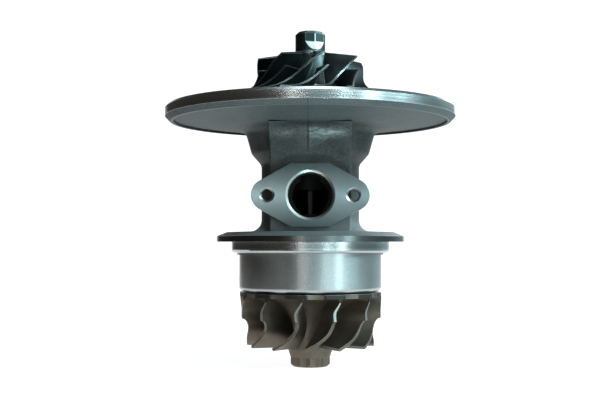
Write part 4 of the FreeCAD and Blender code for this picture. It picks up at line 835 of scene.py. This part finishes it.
def compressor_material():
    material, tree, output = fresh_material("milled_aluminium")
    point = add(tree, "ShaderNodeTexCoord").outputs["Object"]
    across, toward, up = add(tree, "ShaderNodeSeparateXYZ", {0: point}).outputs
    lines = use(tree, turned_lines, {"Point": point, "Lines": 1800.0}).outputs
    edge = use(tree, worn_edge, {"Width": 0.0004}).outputs["Mask"]
    cloud = noise(tree, point, scale=70.0, detail=3.0)
    # Two balancing flats on the nose: painted shade where the cutter ran along, a painted highlight
    # where it ran out, and a painted highlight on the ridge between them
    flat = product(tree, below(tree, lines["Radius"], FLAT_RADIUS), above(tree, up, FLAT_FOOT),
                   below(tree, up, FLAT_TOP))
    run_out = product(tree, flat, step_up(tree, up, *RUN_OUT_TOP))
    ridge = math_node(tree, "ADD", product(tree, across, math.cos(RIDGE_ANGLE)),
                      product(tree, toward, math.sin(RIDGE_ANGLE)))
    ridge = step_up(tree, math_node(tree, "ABSOLUTE", ridge), *RIDGE_WIDTH)
    ridge = product(tree, ridge, flat, below(tree, toward, 0.0))
    flow = blend_colours(tree, cloud, ALUMINIUM_DARK, ALUMINIUM_LIGHT)
    for place, tone in ((step_up(tree, up, *NOSE_FOOT), NOSE_TONE), (flat, FLAT_PAINTED_SHADE),
                        (run_out, RUN_OUT_PAINTED_HIGHLIGHT), (ridge, RIDGE_PAINTED_HIGHLIGHT), (edge, ALUMINIUM_CORNER)):
        flow = blend_colours(tree, place, flow, tone)
    rough = blend_values(tree, cloud, *FLOW_ROUGH)
    finish_metal(tree, output, flow, rough, bump(tree, lines["Height"], strength=0.12, distance=0.00008))
    return material


dress_node("compressor_wheel", compressor_material())


# Shaft
# Ground alloy steel. Between the seals it runs in oil inside the housing, and is painted near black there:
# oil stain and painted shade, glossy, so that only a thin line of light shows on it in the drain's mouth.
SHAFT_DARK = (0.44, 0.44, 0.43, 1.0)
SHAFT_LIGHT = (0.58, 0.58, 0.57, 1.0)
SHAFT_CORNER = (0.72, 0.72, 0.70, 1.0)
# Oil stain and painted shade where the shaft lies inside the housing
STAIN_AND_SHADE_DARK = (0.008, 0.007, 0.006, 1.0)
STAIN_AND_SHADE_LIGHT = (0.018, 0.016, 0.013, 1.0)
OIL_FOOT = (-0.021, -0.018)
OIL_TOP = (0.062, 0.058)
SHAFT_TONES = (0.40, 0.62)
SHAFT_CORNER_SHARE = 0.6
SHAFT_ROUGH = (0.16, 0.26)


def shaft_material():
    material, tree, output = fresh_material("ground_shaft_steel")
    point = add(tree, "ShaderNodeTexCoord").outputs["Object"]
    up = add(tree, "ShaderNodeSeparateXYZ", {0: point}).outputs["Z"]
    lathe = use(tree, turned_lines, {"Point": point, "Lines": 6400.0}).outputs
    edge = use(tree, worn_edge, {"Width": 0.0003}).outputs["Mask"]
    film = noise(tree, point, scale=160.0, detail=3.0)
    steel = blend_colours(tree, step_up(tree, lathe["Tone"], *SHAFT_TONES), SHAFT_DARK, SHAFT_LIGHT)
    steel = blend_colours(tree, product(tree, edge, SHAFT_CORNER_SHARE), steel, SHAFT_CORNER)
    # Oil stain and painted shade between the seals
    oiled_and_shaded = product(tree, step_up(tree, up, *OIL_FOOT), step_up(tree, up, *OIL_TOP))
    stain = blend_colours(tree, film, STAIN_AND_SHADE_DARK, STAIN_AND_SHADE_LIGHT)
    colour = blend_colours(tree, oiled_and_shaded, steel, stain)
    rough = blend_values(tree, film, *SHAFT_ROUGH)
    finish_metal(tree, output, colour, rough, bump(tree, lathe["Height"], strength=0.10, distance=0.00004))
    return material


dress_node("shaft", shaft_material())


# Thrust collar, oil thrower, pins and piston rings
# Small steel pieces turned or ground all over: two slow tones, fine tool lines and bright corners.
# The pins keep the thrust bearing from turning, and the rings seal the shaft at both ends.
SMALL_CORNER = (0.70, 0.70, 0.68, 1.0)
SMALL_PATCHES = (0.36, 0.66)
ROUGHNESS_SPREAD = 0.12


def turned_steel(name, dark, light, roughest, lines, corner):
    """A small turned piece; corner is how bright its edges have been rubbed."""
    material, tree, output = fresh_material(name)
    point = add(tree, "ShaderNodeTexCoord").outputs["Object"]
    lathe = use(tree, turned_lines, {"Point": point, "Lines": lines}).outputs
    edge = use(tree, worn_edge, {"Width": 0.00025}).outputs["Mask"]
    cloud = noise(tree, point, scale=170.0, detail=3.0)
    colour = blend_colours(tree, step_up(tree, cloud, *SMALL_PATCHES), dark, light)
    colour = blend_colours(tree, product(tree, edge, corner), colour, SMALL_CORNER)
    rough = blend_values(tree, cloud, roughest - ROUGHNESS_SPREAD, roughest)
    finish_metal(tree, output, colour, rough, bump(tree, lathe["Height"], strength=0.2, distance=0.00005))
    return material


collar_steel = turned_steel("turned_steel", dark=(0.40, 0.40, 0.39, 1.0), light=(0.54, 0.54, 0.53, 1.0),
                            roughest=0.34, lines=4200.0, corner=0.6)
pin_steel = turned_steel("ground_pin_steel", dark=(0.50, 0.50, 0.49, 1.0), light=(0.62, 0.62, 0.61, 1.0),
                         roughest=0.28, lines=7000.0, corner=0.4)
ring_iron = turned_steel("piston_ring_iron", dark=(0.20, 0.19, 0.18, 1.0), light=(0.30, 0.29, 0.28, 1.0),
                         roughest=0.42, lines=6200.0, corner=0.8)
for name in ("thrust_collar", "oil_thrower"):
    dress_node(name, collar_steel)
dress_node("thrust_bearing_pins", pin_steel)
for name in ("turbine_piston_ring_1", "turbine_piston_ring_2", "compressor_piston_ring"):
    dress_node(name, ring_iron)


# Floating bearings and thrust bearing
# Leaded bronze, turned and bored: warm, with darker oil stains and rubbed edges. The two bushes
# float in oil round the shaft, and the thrust bearing holds the rotor in its place along it.
BRONZE_STAINED = (0.36, 0.23, 0.105, 1.0)
BRONZE_BRIGHT = (0.60, 0.42, 0.20, 1.0)
LEAD_SPECK = (0.36, 0.33, 0.28, 1.0)
BRONZE_CORNER = (0.78, 0.62, 0.36, 1.0)
BRONZE_STAINS = (0.38, 0.60)
LEAD_LEVELS = (0.60, 0.70)
BRONZE_CORNER_SHARE = 0.7
BRONZE_ROUGH = (0.24, 0.40)


def bronze_material():
    material, tree, output = fresh_material("leaded_bronze")
    point = add(tree, "ShaderNodeTexCoord").outputs["Object"]
    lathe = use(tree, turned_lines, {"Point": point, "Lines": 3900.0}).outputs
    edge = use(tree, worn_edge, {"Width": 0.0003}).outputs["Mask"]
    stain = noise(tree, point, scale=240.0, detail=4.0)
    lead = noise(tree, point, scale=2600.0, detail=1.0)
    bronze = blend_colours(tree, step_up(tree, stain, *BRONZE_STAINS), BRONZE_STAINED, BRONZE_BRIGHT)
    bronze = blend_colours(tree, step_up(tree, lead, *LEAD_LEVELS), bronze, LEAD_SPECK)
    bronze = blend_colours(tree, product(tree, edge, BRONZE_CORNER_SHARE), bronze, BRONZE_CORNER)
    rough = blend_values(tree, stain, *BRONZE_ROUGH)
    finish_metal(tree, output, bronze, rough, bump(tree, lathe["Height"], strength=0.25, distance=0.00006))
    return material


leaded_bronze = bronze_material()
for name in ("turbine_journal_bearing", "compressor_journal_bearing", "thrust_bearing"):
    dress_node(name, leaded_bronze)


# Circlips
# Spring steel, blackened, with the black rubbed off along the corners. Four small ones keep the
# bushes in their places in the bore, and a large one holds the seal plate.
BLACKENED_DARK = (0.022, 0.023, 0.026, 1.0)
BLACKENED_LIGHT = (0.070, 0.072, 0.078, 1.0)
RUBBED_SPRING = (0.42, 0.43, 0.44, 1.0)
RUBBED_SHARE = 0.75
BLACKENED_ROUGH = (0.34, 0.52)


def circlip_material():
    material, tree, output = fresh_material("blackened_spring_steel")
    point = add(tree, "ShaderNodeTexCoord").outputs["Object"]
    edge = use(tree, worn_edge, {"Width": 0.0002}).outputs["Mask"]
    bloom = noise(tree, point, scale=420.0, detail=4.0)
    grit = noise(tree, point, scale=3200.0, detail=2.0)
    black = blend_colours(tree, bloom, BLACKENED_DARK, BLACKENED_LIGHT)
    black = blend_colours(tree, product(tree, edge, RUBBED_SHARE), black, RUBBED_SPRING)
    rough = blend_values(tree, bloom, *BLACKENED_ROUGH)
    finish_metal(tree, output, black, rough, bump(tree, grit, strength=0.2, distance=0.00004), metallic=0.9)
    return material


spring_steel = circlip_material()
for name in ("bearing_circlip_1", "bearing_circlip_2", "bearing_circlip_3", "bearing_circlip_4",
             "seal_plate_circlip"):
    dress_node(name, spring_steel)


# Oil baffle
# Pressed from cold-rolled strip: the rolling grain runs one way across it, under a thin oil film.
# It stands round the oil thrower.
ROLLING_GRAIN = (60.0, 2600.0, 2600.0)
STRIP_DARK = (0.30, 0.30, 0.29, 1.0)
STRIP_LIGHT = (0.48, 0.48, 0.47, 1.0)
STRIP_OILED = (0.17, 0.145, 0.11, 1.0)
STRIP_CORNER = (0.66, 0.66, 0.64, 1.0)
STRIP_FILM = (0.50, 0.66)
STRIP_CORNER_SHARE = 0.6
STRIP_ROUGH = (0.42, 0.26)


def baffle_material():
    material, tree, output = fresh_material("pressed_steel_strip")
    point = add(tree, "ShaderNodeTexCoord").outputs["Object"]
    drawn_out = add(tree, "ShaderNodeVectorMath", {0: point, 1: ROLLING_GRAIN}, operation="MULTIPLY")
    grain = noise(tree, drawn_out.outputs[0], scale=1.0, detail=3.0)
    film = noise(tree, point, scale=130.0, detail=3.0)
    edge = use(tree, worn_edge, {"Width": 0.0002}).outputs["Mask"]
    steel = blend_colours(tree, grain, STRIP_DARK, STRIP_LIGHT)
    steel = blend_colours(tree, step_up(tree, film, *STRIP_FILM), steel, STRIP_OILED)
    steel = blend_colours(tree, product(tree, edge, STRIP_CORNER_SHARE), steel, STRIP_CORNER)
    rough = blend_values(tree, film, *STRIP_ROUGH)
    finish_metal(tree, output, steel, rough, bump(tree, grain, strength=0.2, distance=0.00004))
    return material


dress_node("oil_baffle", baffle_material())


# Seal plate
# A turned iron disc: coarser lathe lines on its faces than on the housing's rim. It closes the
# housing behind the compressor wheel.
PLATE_DARK = (0.27, 0.27, 0.265, 1.0)
PLATE_LIGHT = (0.40, 0.40, 0.395, 1.0)
PLATE_PORE = (0.14, 0.14, 0.135, 1.0)
PLATE_CORNER = (0.60, 0.60, 0.59, 1.0)
PLATE_TONES = (0.38, 0.64)
PORE_LEVELS = (0.60, 0.70)
PLATE_CORNER_SHARE = 0.6
PLATE_ROUGH = (0.30, 0.46)


def seal_plate_material():
    material, tree, output = fresh_material("turned_seal_plate_iron")
    point = add(tree, "ShaderNodeTexCoord").outputs["Object"]
    lathe = use(tree, turned_lines, {"Point": point, "Lines": 2100.0}).outputs
    skin = use(tree, cast_skin, {"Point": point, "Grain": 1900.0}).outputs
    edge = use(tree, worn_edge, {"Width": 0.0004}).outputs["Mask"]
    iron = blend_colours(tree, step_up(tree, lathe["Tone"], *PLATE_TONES), PLATE_DARK, PLATE_LIGHT)
    iron = blend_colours(tree, step_up(tree, skin["Grit"], *PORE_LEVELS), iron, PLATE_PORE)
    iron = blend_colours(tree, product(tree, edge, PLATE_CORNER_SHARE), iron, PLATE_CORNER)
    rough = blend_values(tree, skin["Patches"], *PLATE_ROUGH)
    finish_metal(tree, output, iron, rough, bump(tree, lathe["Height"], strength=0.35, distance=0.00008))
    return material


dress_node("seal_plate", seal_plate_material())


# Seal plate O-ring
# Black heat-proof rubber, satin with a slight bloom. It seals the seal plate's rim in the
# housing.
RUBBER_DARK = (0.010, 0.010, 0.011, 1.0)
RUBBER_BLOOM = (0.034, 0.034, 0.036, 1.0)
RUBBER_ROUGH = (0.42, 0.62)


def rubber_material():
    material, tree, output = fresh_material("black_rubber")
    point = add(tree, "ShaderNodeTexCoord").outputs["Object"]
    bloom = noise(tree, point, scale=210.0, detail=4.0)
    pores = noise(tree, point, scale=3600.0, detail=2.0)
    black = blend_colours(tree, bloom, RUBBER_DARK, RUBBER_BLOOM)
    rough = blend_values(tree, bloom, *RUBBER_ROUGH)
    finish_metal(tree, output, black, rough, bump(tree, pores, strength=0.2, distance=0.00003), metallic=0.0)
    return material


dress_node("seal_plate_o_ring", rubber_material())
